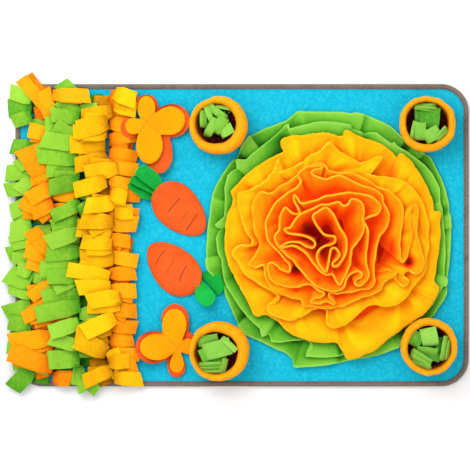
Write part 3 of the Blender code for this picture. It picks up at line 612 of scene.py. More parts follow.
# ---- panel and binding --------------------------------------------------------------------------
@dataclass
class MatShape:
    """The mat's rounded rectangle."""

    length: float = 900.0
    width: float = 600.0
    corner: float = 55.0

    def half_length_at(self, y: float) -> float:
        """How far the mat reaches along X at a given y."""
        over = max(0.0, abs(y) - (self.width / 2 - self.corner))
        return self.length / 2 - self.corner + math.sqrt(max(0.0, self.corner ** 2 - over ** 2))

    def outline(self, spacing: float) -> np.ndarray:
        """The mat's outline.

        Args:
            spacing: distance between two points.

        Returns:
            Rows of x and y, anticlockwise from the right side's lower end.
        """
        points: list[tuple[float, float]] = []
        sides = ((1, 1), (-1, 1), (-1, -1), (1, -1))
        for quarter, (side_x, side_y) in enumerate(sides):
            middle_x = side_x * (self.length / 2 - self.corner)
            middle_y = side_y * (self.width / 2 - self.corner)
            steps = round(self.corner * math.pi / 2 / spacing)
            for step in range(steps + 1):
                turn = math.radians(90 * quarter + 90 * step / steps)
                points.append((middle_x + self.corner * math.cos(turn),
                               middle_y + self.corner * math.sin(turn)))
            straight = (self.length if quarter % 2 == 0 else self.width) - 2 * self.corner
            last, count = points[-1], round(straight / spacing)
            along = (-side_x, 0) if quarter % 2 == 0 else (0, -side_y)
            for step in range(1, count):
                share = straight * step / count
                points.append((last[0] + along[0] * share, last[1] + along[1] * share))
        return np.array(points)


@dataclass
class BasePanel:
    """The plush panel that everything is sewn on."""

    shape: MatShape
    inset: float = 2.0
    thickness: float = 5.0
    columns: int = 220
    rows: int = 148
    uneven: float = 0.5
    broad_mm: float = 60.0
    fine_mm: float = 14.0
    shade: float = 0.36

    def build(self) -> None:
        """Builds the panel as a closed slab with an uneven face."""
        points = []
        wide = self.columns + 1
        for level in (0.0, self.thickness):
            for j in range(self.rows + 1):
                y = (self.shape.width / 2 - self.inset) * math.sin(math.pi * (j / self.rows - 0.5))
                reach = self.shape.half_length_at(y * self.shape.width / (self.shape.width - 2 * self.inset))
                for i in range(wide):
                    points.append(((2 * i / self.columns - 1) * (reach - self.inset), y, level))
        spots = np.array(points) * MM
        top = spots[len(spots) // 2:]
        lift = (swell(top, self.broad_mm, self.uneven, 3.0)[:, 2]
                + swell(top, self.fine_mm, self.uneven / 2, 9.0)[:, 2])
        top[:, 2] += lift - self.uneven * MM
        piece = cloth_piece("panel_plush", spots, slab_faces(self.rows + 1, wide),
                            np.full(len(spots), self.shade), PLUSH)
        hand_over(piece, "base_panel", self.shape.width)


@dataclass
class Binding:
    """Tape folded over the panel's edge and sewn down near its inner side."""

    shape: MatShape
    # the tape's section: how far in and how high
    section: tuple[tuple[float, float], ...] = (
        (0.3, 0.0), (0.0, 2.0), (0.0, 4.6), (0.5, 6.0), (2.0, 6.8), (5.0, 6.9), (7.6, 6.5), (9.2, 6.4),
        (10.0, 5.9), (9.6, 5.35), (5.0, 5.3), (2.2, 5.2), (1.55, 3.0), (1.5, 0.0))
    # its puckers, and the height over which they show
    pucker: float = 0.45
    pucker_mm: float = 11.0
    firm_height: float = 5.6
    cut_width: float = 17.0
    spacing: float = 3.0
    stitch_inset: float = 7.6
    stitch_height: float = 6.75

    def build(self) -> None:
        """Builds the tape and its line of stitches."""
        base = self.shape.outline(self.spacing)
        normal = np.roll(base, -1, 0) - np.roll(base, 1, 0)
        normal /= np.linalg.norm(normal, axis=1)[:, None]
        inward = np.stack([-normal[:, 1], normal[:, 0]], 1)
        count = len(base)
        points = np.zeros((len(self.section), count, 3))
        for line, (inset, height) in enumerate(self.section):
            points[line, :, :2] = base + inward * inset
            points[line, :, 2] = height
        spots = points.reshape(-1, 3) * MM
        upper = np.clip((spots[:, 2] / MM - self.firm_height) / 0.8, 0, 1)
        spots += swell(spots, self.pucker_mm, self.pucker, 21.0) * upper[:, None] * np.array((0.6, 0.6, 1.0))
        piece = new_object("binding_tape", spots, ring_faces(len(self.section), count, closed=True))
        turn_out(piece)
        smooth_faces(piece)
        piece.data.materials.append(finish_of(TAPE))
        hand_over(piece, "binding", self.cut_width)
        row = [(x * MM, y * MM, self.stitch_height * MM) for x, y in base + inward * self.stitch_inset]
        Stitching("stitches_binding", STITCH_GREY).sew("binding_stitches", [row + row[:1]])


# ---- pieces that follow their solids --------------------------------------------------------------
@dataclass
class SoftCopy:
    """A piece of cloth that keeps its solid's place and folds, with softened faces and crisp cut edges."""

    node: str
    name: str
    finish: Nap
    cut_width_mm: float
    seed: float
    # painted shade of its lowest parts, and how high it has to lie for the shade of its face
    shade_low: float
    high_mm: float
    shade_high: float = 0.22
    low_mm: float = 5.0
    # whether its faces are ironed to one smooth bend each
    pressed: bool = False
    levels: int = 2
    cut_edge: float = 0.75
    # the turn in degrees below which two triangles are one face, and past which an edge is a cut one
    flat_turn: float = 28.0
    cut_turn: float = 55.0
    swell_mm: float = 16.0
    swell_height: float = 0.4
    patch_mm: float = 26.0
    patch_tone: float = 0.22

    def mesh(self) -> bpy.types.Object:
        """Copies the solid, joins its triangles and rounds its folds.

        Returns:
            The piece, without its finish.
        """
        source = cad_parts[self.node]
        piece = bpy.data.objects.new(self.name, source.data.copy())
        bpy.context.scene.collection.objects.link(piece)
        work = bmesh.new()
        work.from_mesh(piece.data)
        bmesh.ops.remove_doubles(work, verts=work.verts, dist=0.01 * MM)
        bmesh.ops.join_triangles(work, faces=work.faces, angle_face_threshold=math.radians(self.flat_turn),
                                 angle_shape_threshold=math.radians(70))
        crease = work.edges.layers.float.get("crease_edge") or work.edges.layers.float.new("crease_edge")
        for edge in work.edges:
            edge[crease] = self.cut_edge if edge.calc_face_angle(0.0) > math.radians(self.cut_turn) else 0.0
        work.to_mesh(piece.data)
        work.free()
        for mark in ("sharp_face", "sharp_edge"):
            old = piece.data.attributes.get(mark)
            if old:
                piece.data.attributes.remove(old)
        rounded = piece.modifiers.new("rounded", "SUBSURF")
        rounded.levels = rounded.render_levels = self.levels
        return settled(piece)

    def shaded(self, points: np.ndarray) -> np.ndarray:
        """Finds the painted shade of each point, deeper towards the mat.

        Args:
            points: places in metres.

        Returns:
            A shade for each point.
        """
        height = np.clip((points[:, 2] / MM - self.low_mm) / (self.high_mm - self.low_mm), 0, 1)
        tone = swell(points, self.patch_mm, 1.0, self.seed + 40)[:, 0] / MM
        return self.shade_low + (self.shade_high - self.shade_low) * height ** 0.6 + self.patch_tone * tone

    def press(self, piece: bpy.types.Object, points: np.ndarray) -> None:
        """Irons the piece: its upper and its lower face each take one smooth bend.

        Args:
            piece: the piece, for its faces' directions.
            points: its points, whose heights are changed.
        """
        flat = np.zeros(len(points) * 3, np.float32)
        piece.data.vertices.foreach_get("normal", flat)
        facing = flat.reshape(-1, 3)[:, 2]
        x, y = (points[:, :2] - points[:, :2].mean(0)).T
        bend = np.stack([np.ones_like(x), x, y, x * x, x * y, y * y, x ** 3, x * x * y, x * y * y, y ** 3], 1)
        for face in (facing > 0.5, facing < -0.5):
            found = np.linalg.lstsq(bend[face], points[face, 2], rcond=None)[0]
            points[face, 2] = bend[face] @ found

    def build(self) -> bpy.types.Object:
        """Builds the piece and hands it over.

        Returns:
            The finished piece.
        """
        piece = self.mesh()
        points = points_of(piece)
        if self.pressed:
            self.press(piece, points)
        put_points(piece, points + swell(points, self.swell_mm, self.swell_height, self.seed))
        put_shade(piece, self.shaded(points))
        piece.data.materials.clear()
        piece.data.materials.append(finish_of(self.finish))
        smooth_faces(piece)
        hand_over(piece, self.node, self.cut_width_mm)
        return piece


# ---- strips -------------------------------------------------------------------------------------
STRIP_WIDTH = 28.0


class Heap:
    """Strips of cloth gathered into one piece, in mm."""

    def __init__(self) -> None:
        """Starts with nothing."""
        # painted shade: how much darker the underside of a strip is
        self.under_shade = 0.3
        self.spots: list[np.ndarray] = []
        self.faces: list[tuple[int, ...]] = []
        self.shades: list[np.ndarray] = []
        self.count = 0

    def add(self, middle: np.ndarray, across: np.ndarray, shade: np.ndarray, thickness: float = 3.0,
            crown: float = 0.8) -> None:
        """Adds one closed strip.

        Args:
            middle: places along its middle, from root to tip.
            across: for each place, the way from the middle to its left side.
            shade: for each place, the shade of its top.
            thickness: the cloth's thickness.
            crown: how far its middle stands over its sides.
        """
        along = np.gradient(middle, axis=0)
        normal = np.cross(along, across)
        normal /= np.linalg.norm(normal, axis=1)[:, None]
        normal[normal[:, 2] < 0] *= -1
        columns = np.linspace(-1, 1, 5)
        sheet = (middle[:, None] + across[:, None] * columns[None, :, None]
                 + normal[:, None] * (crown * (1 - columns ** 2))[None, :, None])
        lift = normal[:, None] * thickness / 2
        both = np.concatenate([(sheet + lift).reshape(-1, 3), (sheet - lift).reshape(-1, 3)])
        self.faces += slab_faces(len(middle), len(columns), self.count)
        self.spots.append(both)
        dim = np.repeat(shade, len(columns))
        self.shades.append(np.concatenate([dim, dim + self.under_shade]))
        self.count += len(both)

    def piece(self, name: str, finish: Nap, swell_height: float = 0.6) -> bpy.types.Object:
        """Makes the strips one mesh.

        Args:
            name: the piece's name.
            finish: what the strips are made of.
            swell_height: how uneven the cloth is.

        Returns:
            The piece.
        """
        spots = np.concatenate(self.spots) * MM
        spots += swell(spots, 15.0, swell_height, 5.0)
        return cloth_piece(name, spots, self.faces, np.concatenate(self.shades), finish,
                           crisp=50.0, outward=True)


class HeightField:
    """Top of the cloth laid so far, on a square grid seen from above, in mm."""

    def __init__(self, half_x: float = 500.0, half_y: float = 340.0, cell: float = 2.0,
                 bare: float = 5.3) -> None:
        """Starts with the bare panel."""
        self.half_x, self.half_y, self.cell = half_x, half_y, cell
        self.top = np.full((int(2 * half_x / cell) + 1, int(2 * half_y / cell) + 1), bare)

    def place(self, x: float, y: float) -> tuple[int, int]:
        """The cell of a place."""
        return (int(np.clip((x + self.half_x) / self.cell, 0, self.top.shape[0] - 1)),
                int(np.clip((y + self.half_y) / self.cell, 0, self.top.shape[1] - 1)))

    def highest(self, x: float, y: float, radius: float) -> float:
        """The highest cloth in a square about a place."""
        low, high = self.place(x - radius, y - radius), self.place(x + radius, y + radius)
        return float(self.top[low[0]:high[0] + 1, low[1]:high[1] + 1].max())

    def cover(self, middle: np.ndarray, across: np.ndarray, lift: float) -> None:
        """Raises the field to a strip's top.

        Args:
            middle: places along the strip's middle.
            across: the way to its left side at each place.
            lift: how far the strip's top stands over its middle.
        """
        run = np.linspace(0, len(middle) - 1, 4 * len(middle))
        keep = np.arange(len(middle))
        line = np.stack([np.interp(run, keep, middle[:, i]) for i in range(3)], 1)
        side = np.stack([np.interp(run, keep, across[:, i]) for i in range(3)], 1)
        for share in np.linspace(-1, 1, 13):
            for x, y, z in line + side * share:
                column, row = self.place(x, y)
                self.top[column, row] = max(self.top[column, row], z + lift)

    def cover_piece(self, piece: bpy.types.Object) -> None:
        """Raises the field to a finished piece's points.

        Args:
            piece: the finished piece.
        """
        for x, y, z in points_of(piece) / MM:
            column, row = self.place(x, y)
            self.top[column, row] = max(self.top[column, row], z)


@dataclass(frozen=True)
class FringeRow:
    """A row of strips sewn along one line: a table of its strips and the short ones beneath them."""

    name: str
    node: str
    seam_x: float
    finish: Nap
    loft: float
    # along the seam, reach seen from above, heading, width
    strips: tuple[tuple[float, float, float, float], ...]
    laid_last: tuple[tuple[float, float, float, float], ...] = ()
    under_spacing: float = 15.0
    under_reach: float = 44.0
    under_sides: tuple[float, ...] = (0.0, 180.0)
    reach_more: float = 2.0
    width_more: float = 3.0
    # places along the mat and how far the roots stray from the seam there
    strays: tuple[tuple[float, float], ...] = ((-300.0, 0.0), (300.0, 0.0))
    doubled: bool = True

    def root_at(self, along: float) -> float:
        """Where along X a strip's root lies."""
        places, shifts = np.array(self.strays).T
        return self.seam_x + float(np.interp(along, places, shifts))


@dataclass
class StripBed:
    """All the rows of strips, laid one after another on what lies there already."""

    rows: tuple[FringeRow, ...]
    thickness: float = 3.0
    stations: int = 11
    seam_height: float = 8.0
    stiffness: int = 5
    clearance: float = 0.4
    # how much of the cloth's thickness still counts over its middle once the next strip presses on it
    give: float = 0.15
    pinch: float = 0.72
    under_loft: float = 4.0
    steepest: float = 0.75
    # how far a strip's end may drop from one station to the next
    end_drop: float = 1.5
    # painted shade: how much darker a strip is at its root and where it lies low
    root_painted_shade: float = 0.4
    low_painted_shade: float = 0.3
    high_up: float = 22.0
    tone: float = 0.22
    # how far out of its middle, as a share of its half width, and in what square a strip feels what is below
    side_place: float = 0.85
    feel: float = 3.0
    # the short strips beneath: the ends of their line, their width and their painted shade
    under_ends: tuple[float, float] = (-278.0, 279.0)
    under_width: float = 27.0
    under_painted_shade: float = 0.4
    # chance for them: how far they turn and how long they are
    under_turned: float = 20.0
    under_cut: tuple[float, float] = (0.8, 1.05)
    # chance for a second strip: how far it moves and turns, its length, loft and tone
    second_moved: float = 9.0
    second_turned: float = 24.0
    second_cut: tuple[float, float] = (0.8, 1.0)
    second_loft: tuple[float, float] = (0.4, 0.8)
    second_tone: tuple[float, float] = (0.05, 0.3)
    # chance for a named strip: the same, and how far it is cut slantwise and tips
    moved: float = 3.0
    turned: float = 10.0
    cut: tuple[float, float] = (0.92, 1.1)
    widened: tuple[float, float] = (0.9, 1.1)
    lofted: tuple[float, float] = (0.6, 1.5)
    toned: tuple[float, float] = (-0.14, 0.26)
    slanted: float = 0.32
    tipped: float = 4.5

    def lay(self, heap: Heap, field: HeightField, row: FringeRow, along: float, reach: float, heading: float,
            width: float, loft: float, tone: float, slant: float = 0.0, tip: float = 0.0) -> None:
        """Lays one strip.

        Args:
            heap: the strips of its row.
            field: what lies there.
            row: the row.
            along: its place on the seam.
            reach: its length seen from above.
            heading: the way it points.
            width: its width.
            loft: how high it arches.
            tone: how much darker it is than its row.
            slant: how slantwise its end is cut, as a share of its width.
            tip: how much higher its left side ends than its right.
        """
        turn = math.radians(heading)
        way, level = np.array((math.cos(turn), math.sin(turn))), np.array((-math.sin(turn), math.cos(turn)))
        share = np.linspace(0, 1, self.stations)
        half = width / 2 * (self.pinch + (1 - self.pinch) * np.clip(share / 0.3, 0, 1))
        spots = np.array((row.root_at(along), along)) + way * (share * reach)[:, None]
        rest = np.zeros((3, self.stations))
        for side in (-1, 0, 1):
            for k in range(self.stations):
                x, y = spots[k] + level * side * half[k] * self.side_place
                rest[side + 1, k] = field.highest(x, y, self.feel)
        rest += self.clearance + self.thickness / 2
        rest[2] += max(0.0, tip) * share
        rest[0] += max(0.0, -tip) * share
        arch = self.seam_height + loft * np.sin(math.pi * (0.22 + 0.66 * share)) * np.clip(share / 0.15, 0, 1)
        high = np.maximum(rest, arch)
        high[:, 0] = np.maximum(rest[:, 0], self.seam_height)
        for _ in range(self.stiffness):
            inner = 0.4 * high[:, 1:-1] + 0.3 * (high[:, 2:] + high[:, :-2])
            high[:, 1:-1] = np.maximum(rest[:, 1:-1], inner)
            high[:, -1] = np.maximum(rest[:, -1], high[:, -2] - self.end_drop)
        least = high.max(0) - 2 * self.steepest * half
        high[[0, 2]] = np.maximum(high[[0, 2]], least)
        centre = np.maximum(high[1], (high[0] + high[2]) / 2)
        middle = np.concatenate([spots, centre[:, None]], 1)
        across = np.concatenate([level * half[:, None], ((high[2] - high[0]) / 2)[:, None]], 1)
        across[:, :2] += way * (slant * half * np.clip((share - 0.55) / 0.45, 0, 1))[:, None]
        # painted shade, darker near the root and where the strip lies low
        painted_shade = self.root_painted_shade * np.clip(1 - share / 0.35, 0, 1)
        painted_shade += self.low_painted_shade * np.clip((self.high_up - centre) / 16, 0, 1)
        heap.add(middle, across, self.tone + tone + painted_shade, self.thickness)
        field.cover(middle, across, self.thickness * self.give)

    def build(self, field: HeightField) -> None:
        """Lays the short strips first, then each row's own, and hands the rows over.

        Args:
            field: what lies there, raised by every strip.
        """
        chance = np.random.default_rng(12)
        heaps = {row.name: Heap() for row in self.rows}
        for row in self.rows:
            for n, along in enumerate(np.arange(*self.under_ends, row.under_spacing)):
                heading = (row.under_sides[n % len(row.under_sides)]
                           + chance.uniform(-self.under_turned, self.under_turned))
                self.lay(heaps[row.name], field, row, along,
                         row.under_reach * chance.uniform(*self.under_cut), heading, self.under_width,
                         self.under_loft, self.under_painted_shade)
        for turn in ("strips", "laid_last"):
            for row in self.rows:
                waiting = sorted(getattr(row, turn), key=lambda strip: abs(math.sin(math.radians(strip[2]))))
                for along, reach, heading, width in waiting:
                    if row.doubled:
                        self.lay(heaps[row.name], field, row,
                                 along + chance.uniform(-self.second_moved, self.second_moved),
                                 reach * chance.uniform(*self.second_cut),
                                 heading + chance.uniform(-self.second_turned, self.second_turned), width,
                                 row.loft * chance.uniform(*self.second_loft),
                                 chance.uniform(*self.second_tone))
                    self.lay(heaps[row.name], field, row, along + chance.uniform(-self.moved, self.moved),
                             (reach + row.reach_more) * chance.uniform(*self.cut),
                             heading + chance.uniform(-self.turned, self.turned),
                             (width + row.width_more) * chance.uniform(*self.widened),
                             row.loft * chance.uniform(*self.lofted), chance.uniform(*self.toned),
                             chance.uniform(-self.slanted, self.slanted),
                             chance.uniform(-self.tipped, self.tipped))
        for row in self.rows:
            hand_over(heaps[row.name].piece(row.name, row.finish), row.node,
                      STRIP_WIDTH)


# ---- cups ---------------------------------------------------------------------------------------
@dataclass(frozen=True)
class Cup:
    """A fleece cup: a round wall whose top is turned out and hangs as a collar, and its tuft of strips."""

    number: int
    x: float
    y: float
    # the mouth's middle from the cup's, and its radius
    mouth_x: float
    mouth_y: float
    mouth: float
    # its tuft: middle of each strip's flat from the cup's middle, heading, length, width, roll, height,
    # painted shade
    tuft: tuple[tuple[float, float, float, float, float, float, float, float], ...]
    # how far the collar reaches past the mouth
    collar: float = 15.0
    steps: int = 108
    thickness: float = 3.0
    cut_width: float = 80.0
    # where its wall starts to wander, over what height, and how far it does outwards and upwards
    firm_height: float = 15.0
    free_height: float = 42.0
    wander: tuple[float, float] = (3.0, 1.4)
    folded: tuple[float, float] = (2.0, 1.0)
    # its strips: height of their roots, how far in these stand, and the cloth
    tuft_root: float = 12.0
    tuft_inset: float = 0.55
    tuft_thickness: float = 2.8
    tuft_crown: float = 0.6
    # the sheet's section: mm inside the mouth or share of the collar, height, share of the mouth's
    # shift, painted shade, darkest down inside the cup
    section: tuple[tuple[float, float, float, float], ...] = (
        (-40.0, 8.2, 0.0, 1.3), (-20.0, 8.2, 0.1, 1.3), (-3.5, 8.6, 0.2, 1.25), (-0.5, 13.0, 0.3, 1.1),
        (0.02, 24.0, 0.6, 0.92), (0.03, 36.0, 0.85, 0.74), (0.06, 46.0, 1.0, 0.5), (0.16, 52.5, 1.0, 0.34),
        (0.34, 56.6, 0.9, 0.24), (0.6, 57.0, 0.7, 0.2), (0.84, 54.0, 0.5, 0.2), (0.97, 48.0, 0.3, 0.28),
        (1.0, 41.0, 0.15, 0.4), (0.95, 34.0, 0.05, 0.5), (0.84, 27.0, 0.0, 0.6))

    def build(self) -> None:
        """Builds the cup and its tuft."""
        turn = np.arange(self.steps) / self.steps * 2 * math.pi
        around = np.stack([np.cos(turn), np.sin(turn)], 1)
        uneven, folds = (
            np.array([noise.noise(Vector((a * scale, b * scale, self.number * seed))) for a, b in around])
            for scale, seed in ((1.6, 3.7), (5.0, 9.1)))
        rows, shades = [], []
        for past, height, shift, shade in self.section:
            high = max(0.0, (height - self.firm_height) / self.free_height)
            outer = 1.0 if past > 0.4 else 0.35
            reach = past if past < 0 else past * self.collar
            out, up = ((wander * uneven + folded * folds * outer) * high
                       for wander, folded in zip(self.wander, self.folded))
            radius = np.maximum(self.mouth + reach + out, 0.5)
            place = around * radius[:, None] + np.array((self.mouth_x, self.mouth_y)) * shift
            level = height + up
            rows.append(np.concatenate([place + np.array((self.x, self.y)), level[:, None]], 1))
            shades.append(np.full(self.steps, shade))
        faces = [tuple(range(self.steps)), *ring_faces(len(rows), self.steps, inward=True)]
        piece = cloth_piece(f"cloth_cup_{self.number}", np.concatenate(rows) * MM, faces,
                            np.concatenate(shades), CUP, wall_mm=self.thickness, levels=1)
        hand_over(piece, f"cup_{self.number}", self.cut_width)
        self.build_tuft()

    def build_tuft(self) -> None:
        """Builds the strips that stand in the cup and fold over at its mouth."""
        heap = Heap()
        for x, y, heading, length, width, roll, height, shade in self.tuft:
            turn, lean = math.radians(heading), math.radians(roll)
            way = np.array((math.cos(turn), math.sin(turn), 0.0))
            side = np.array((-way[1] * math.cos(lean), way[0] * math.cos(lean), math.sin(lean)))
            flat = np.array((x, y, height))
            near, far = flat - way * length / 2, flat + way * length / 2
            up = np.array((0, 0, 1.0))
            inset = np.array((self.tuft_inset, self.tuft_inset, 0.0))
            bend = [near * inset + up * self.tuft_root, near - up * 14, near - up * 3,
                    near + way * 4, flat + up, far - up * 1.5]
            run = np.concatenate([[0], np.cumsum(np.linalg.norm(np.diff(bend, axis=0), axis=1))])
            want = np.linspace(0, run[-1], 12)
            line = np.stack([np.interp(want, run, np.array(bend)[:, i]) for i in range(3)], 1)
            for _ in range(2):
                line[1:-1] = 0.5 * line[1:-1] + 0.25 * (line[2:] + line[:-2])
            line += np.array((self.x, self.y, 0.0))
            # painted shade, deeper down in the cup
            deep = np.clip((38 - line[:, 2]) / 22, 0, 1) * 0.6
            heap.add(line, np.repeat(side[None] * width / 2, len(line), 0), shade + deep,
                     self.tuft_thickness, self.tuft_crown)
        hand_over(heap.piece(f"cloth_tuft_{self.number}", TUFT, 0.8), f"cup_tuft_{self.number}",
                  STRIP_WIDTH)


CUPS = (
    Cup(1, -45.7, 216.0, -7.0, 4.0, 40.5, (
        (-31, 14, 90, 32, 13, 8, 47, 0.2), (-27, 13, 92, 30, 12, 62, 45, 0.35),
        (-19, 22, 112, 36, 12, 20, 49, 0.15), (-3, 27, 142, 44, 15, -24, 47, 0.2),
        (9, 36, 168, 30, 12, 66, 46, 0.1), (-14, -2, 62, 36, 16, 18, 50, 0.18),
        (1, 2, 55, 34, 22, 14, 48, 0.3), (15, -9, 28, 26, 22, -12, 46, 0.15),
        (-2, 12, 25, 40, 20, 0, 38, 0.6), (-20, -8, 70, 26, 16, 30, 40, 0.5)), 16.0),
    Cup(2, 366.0, 219.0, 0.0, 3.0, 43.5, (
        (4, 12, 84, 44, 40, -6, 44, 0.62), (-3, 35, 178, 44, 13, 60, 45, 0.1),
        (-6, 31, 172, 40, 12, 58, 44, 0.25), (2, 39, 184, 30, 10, 62, 45, 0.2),
        (-27, -12, 78, 36, 12, 34, 50, 0.05), (-14, -14, 88, 34, 22, 12, 51, 0.25),
        (9, -20, 28, 32, 27, 8, 50, 0.22), (27, -17, 48, 30, 11, 52, 49, 0.05),
        (30, -24, 46, 32, 10, 56, 46, 0.2), (-19, 16, 90, 30, 12, 20, 40, 0.6)), 11.0),
    Cup(3, -43.7, -228.0, -8.0, -5.0, 43.0, (
        (-24, 19, 14, 42, 18, 26, 47, 0.25), (-24, 26, 10, 40, 12, 50, 45, 0.1),
        (-6, 3, 15, 56, 34, 10, 52, 0.16), (18, 13, -42, 38, 13, -34, 53, 0.02),
        (-31, -13, 115, 34, 15, 40, 47, 0.4), (-20, -28, 4, 44, 14, 48, 48, 0.12),
        (-20, -35, 3, 44, 12, 56, 46, 0.25), (-19, -42, 2, 40, 10, 58, 44, 0.1),
        (7, -31, 76, 32, 14, 36, 44, 0.2), (-10, -18, 8, 46, 20, 0, 42, 0.55)), 15.0),
    Cup(4, 368.6, -219.4, 1.5, -3.0, 43.5, (
        (1, 19, 102, 36, 33, -14, 51, 0.05), (-25, 15, 62, 28, 26, 10, 46, 0.5),
        (-3, -9, -8, 40, 18, 40, 46, 0.25), (30, -4, 80, 50, 13, 46, 49, 0.08),
        (38, -8, 80, 42, 10, 56, 46, 0.22), (-14, -20, -32, 44, 14, 42, 48, 0.2),
        (-17, -28, -32, 44, 14, 46, 46, 0.1), (-16, -37, -20, 42, 12, 50, 44, 0.2),
        (20, -2, 84, 40, 14, 20, 40, 0.6), (4, -16, -20, 40, 20, 0, 40, 0.6)), 11.0),
)


# ---- flower -------------------------------------------------------------------------------------
def about_middle(rows: tuple[tuple[float, ...], ...]) -> np.ndarray:
    """Turns rows of heading, radius and, where there are any, lift and tone to x, y, lift and tone."""
    return np.array([(row[1] * math.cos(math.radians(row[0])), row[1] * math.sin(math.radians(row[0])),
                      *(row[2:] or (0.0, 0.0))) for row in rows])


def closed_curve(corner: np.ndarray, count: int, straight: bool = False) -> np.ndarray:
    """A closed line through given places.

    Args:
        corner: rows of x, y in mm and any other values, anticlockwise.
        count: how many points the line gets, evenly spaced along it.
        straight: whether it runs straight from row to row instead of bending.

    Returns:
        Rows of the same values.
    """
    before, after, later = np.roll(corner, 1, 0), np.roll(corner, -1, 0), np.roll(corner, -2, 0)
    fine = []
    for p0, p1, p2, p3 in zip(before, corner, after, later):
        t1 = np.linalg.norm((p1 - p0)[:2]) ** 0.5
        t2 = t1 + np.linalg.norm((p2 - p1)[:2]) ** 0.5
        t3 = t2 + np.linalg.norm((p3 - p2)[:2]) ** 0.5
        for t in np.linspace(t1, t2, 12, endpoint=False):
            a1 = p0 + (p1 - p0) * (t / t1)
            a2 = p1 + (p2 - p1) * ((t - t1) / (t2 - t1))
            a3 = p2 + (p3 - p2) * ((t - t2) / (t3 - t2))
            b1 = a1 + (a2 - a1) * (t / t2)
            b2 = a2 + (a3 - a2) * ((t - t1) / (t3 - t1))
            fine.append(a2 if straight else b1 + (b2 - b1) * ((t - t1) / (t2 - t1)))
    line = np.array(fine + fine[:1])
    run = np.concatenate([[0], np.cumsum(np.linalg.norm(np.diff(line[:, :2], axis=0), axis=1))])
    want = np.linspace(0, run[-1], count, endpoint=False)
    return np.stack([np.interp(want, run, line[:, i]) for i in range(line.shape[1])], 1)


def evened(values: np.ndarray, share: float) -> np.ndarray:
    """Evens out a closed row of values.

    Args:
        values: rows along the line.
        share: how far each value spreads, as a share of the line.

    Returns:
        The evened rows.
    """
    wave = np.fft.fftfreq(len(values)) * len(values)
    keep = np.exp(-0.5 * (wave * 2 * math.pi * share) ** 2).reshape((-1,) + (1,) * (values.ndim - 1))
    return np.real(np.fft.ifft(np.fft.fft(values, axis=0) * keep, axis=0))


def ring_noise(count: int, bumps: float, seed: float) -> np.ndarray:
    """Closed row of soft random values.

    Args:
        count: how many values.
        bumps: about how many bumps go round.
        seed: another value gives another row.

    Returns:
        Values from about -1 to 1.
    """
    turn = np.arange(count) / count * 2 * math.pi
    radius = bumps / (2 * math.pi)
    return np.array([2 * noise.noise(Vector((radius * math.cos(t), radius * math.sin(t), seed)))
                     for t in turn])


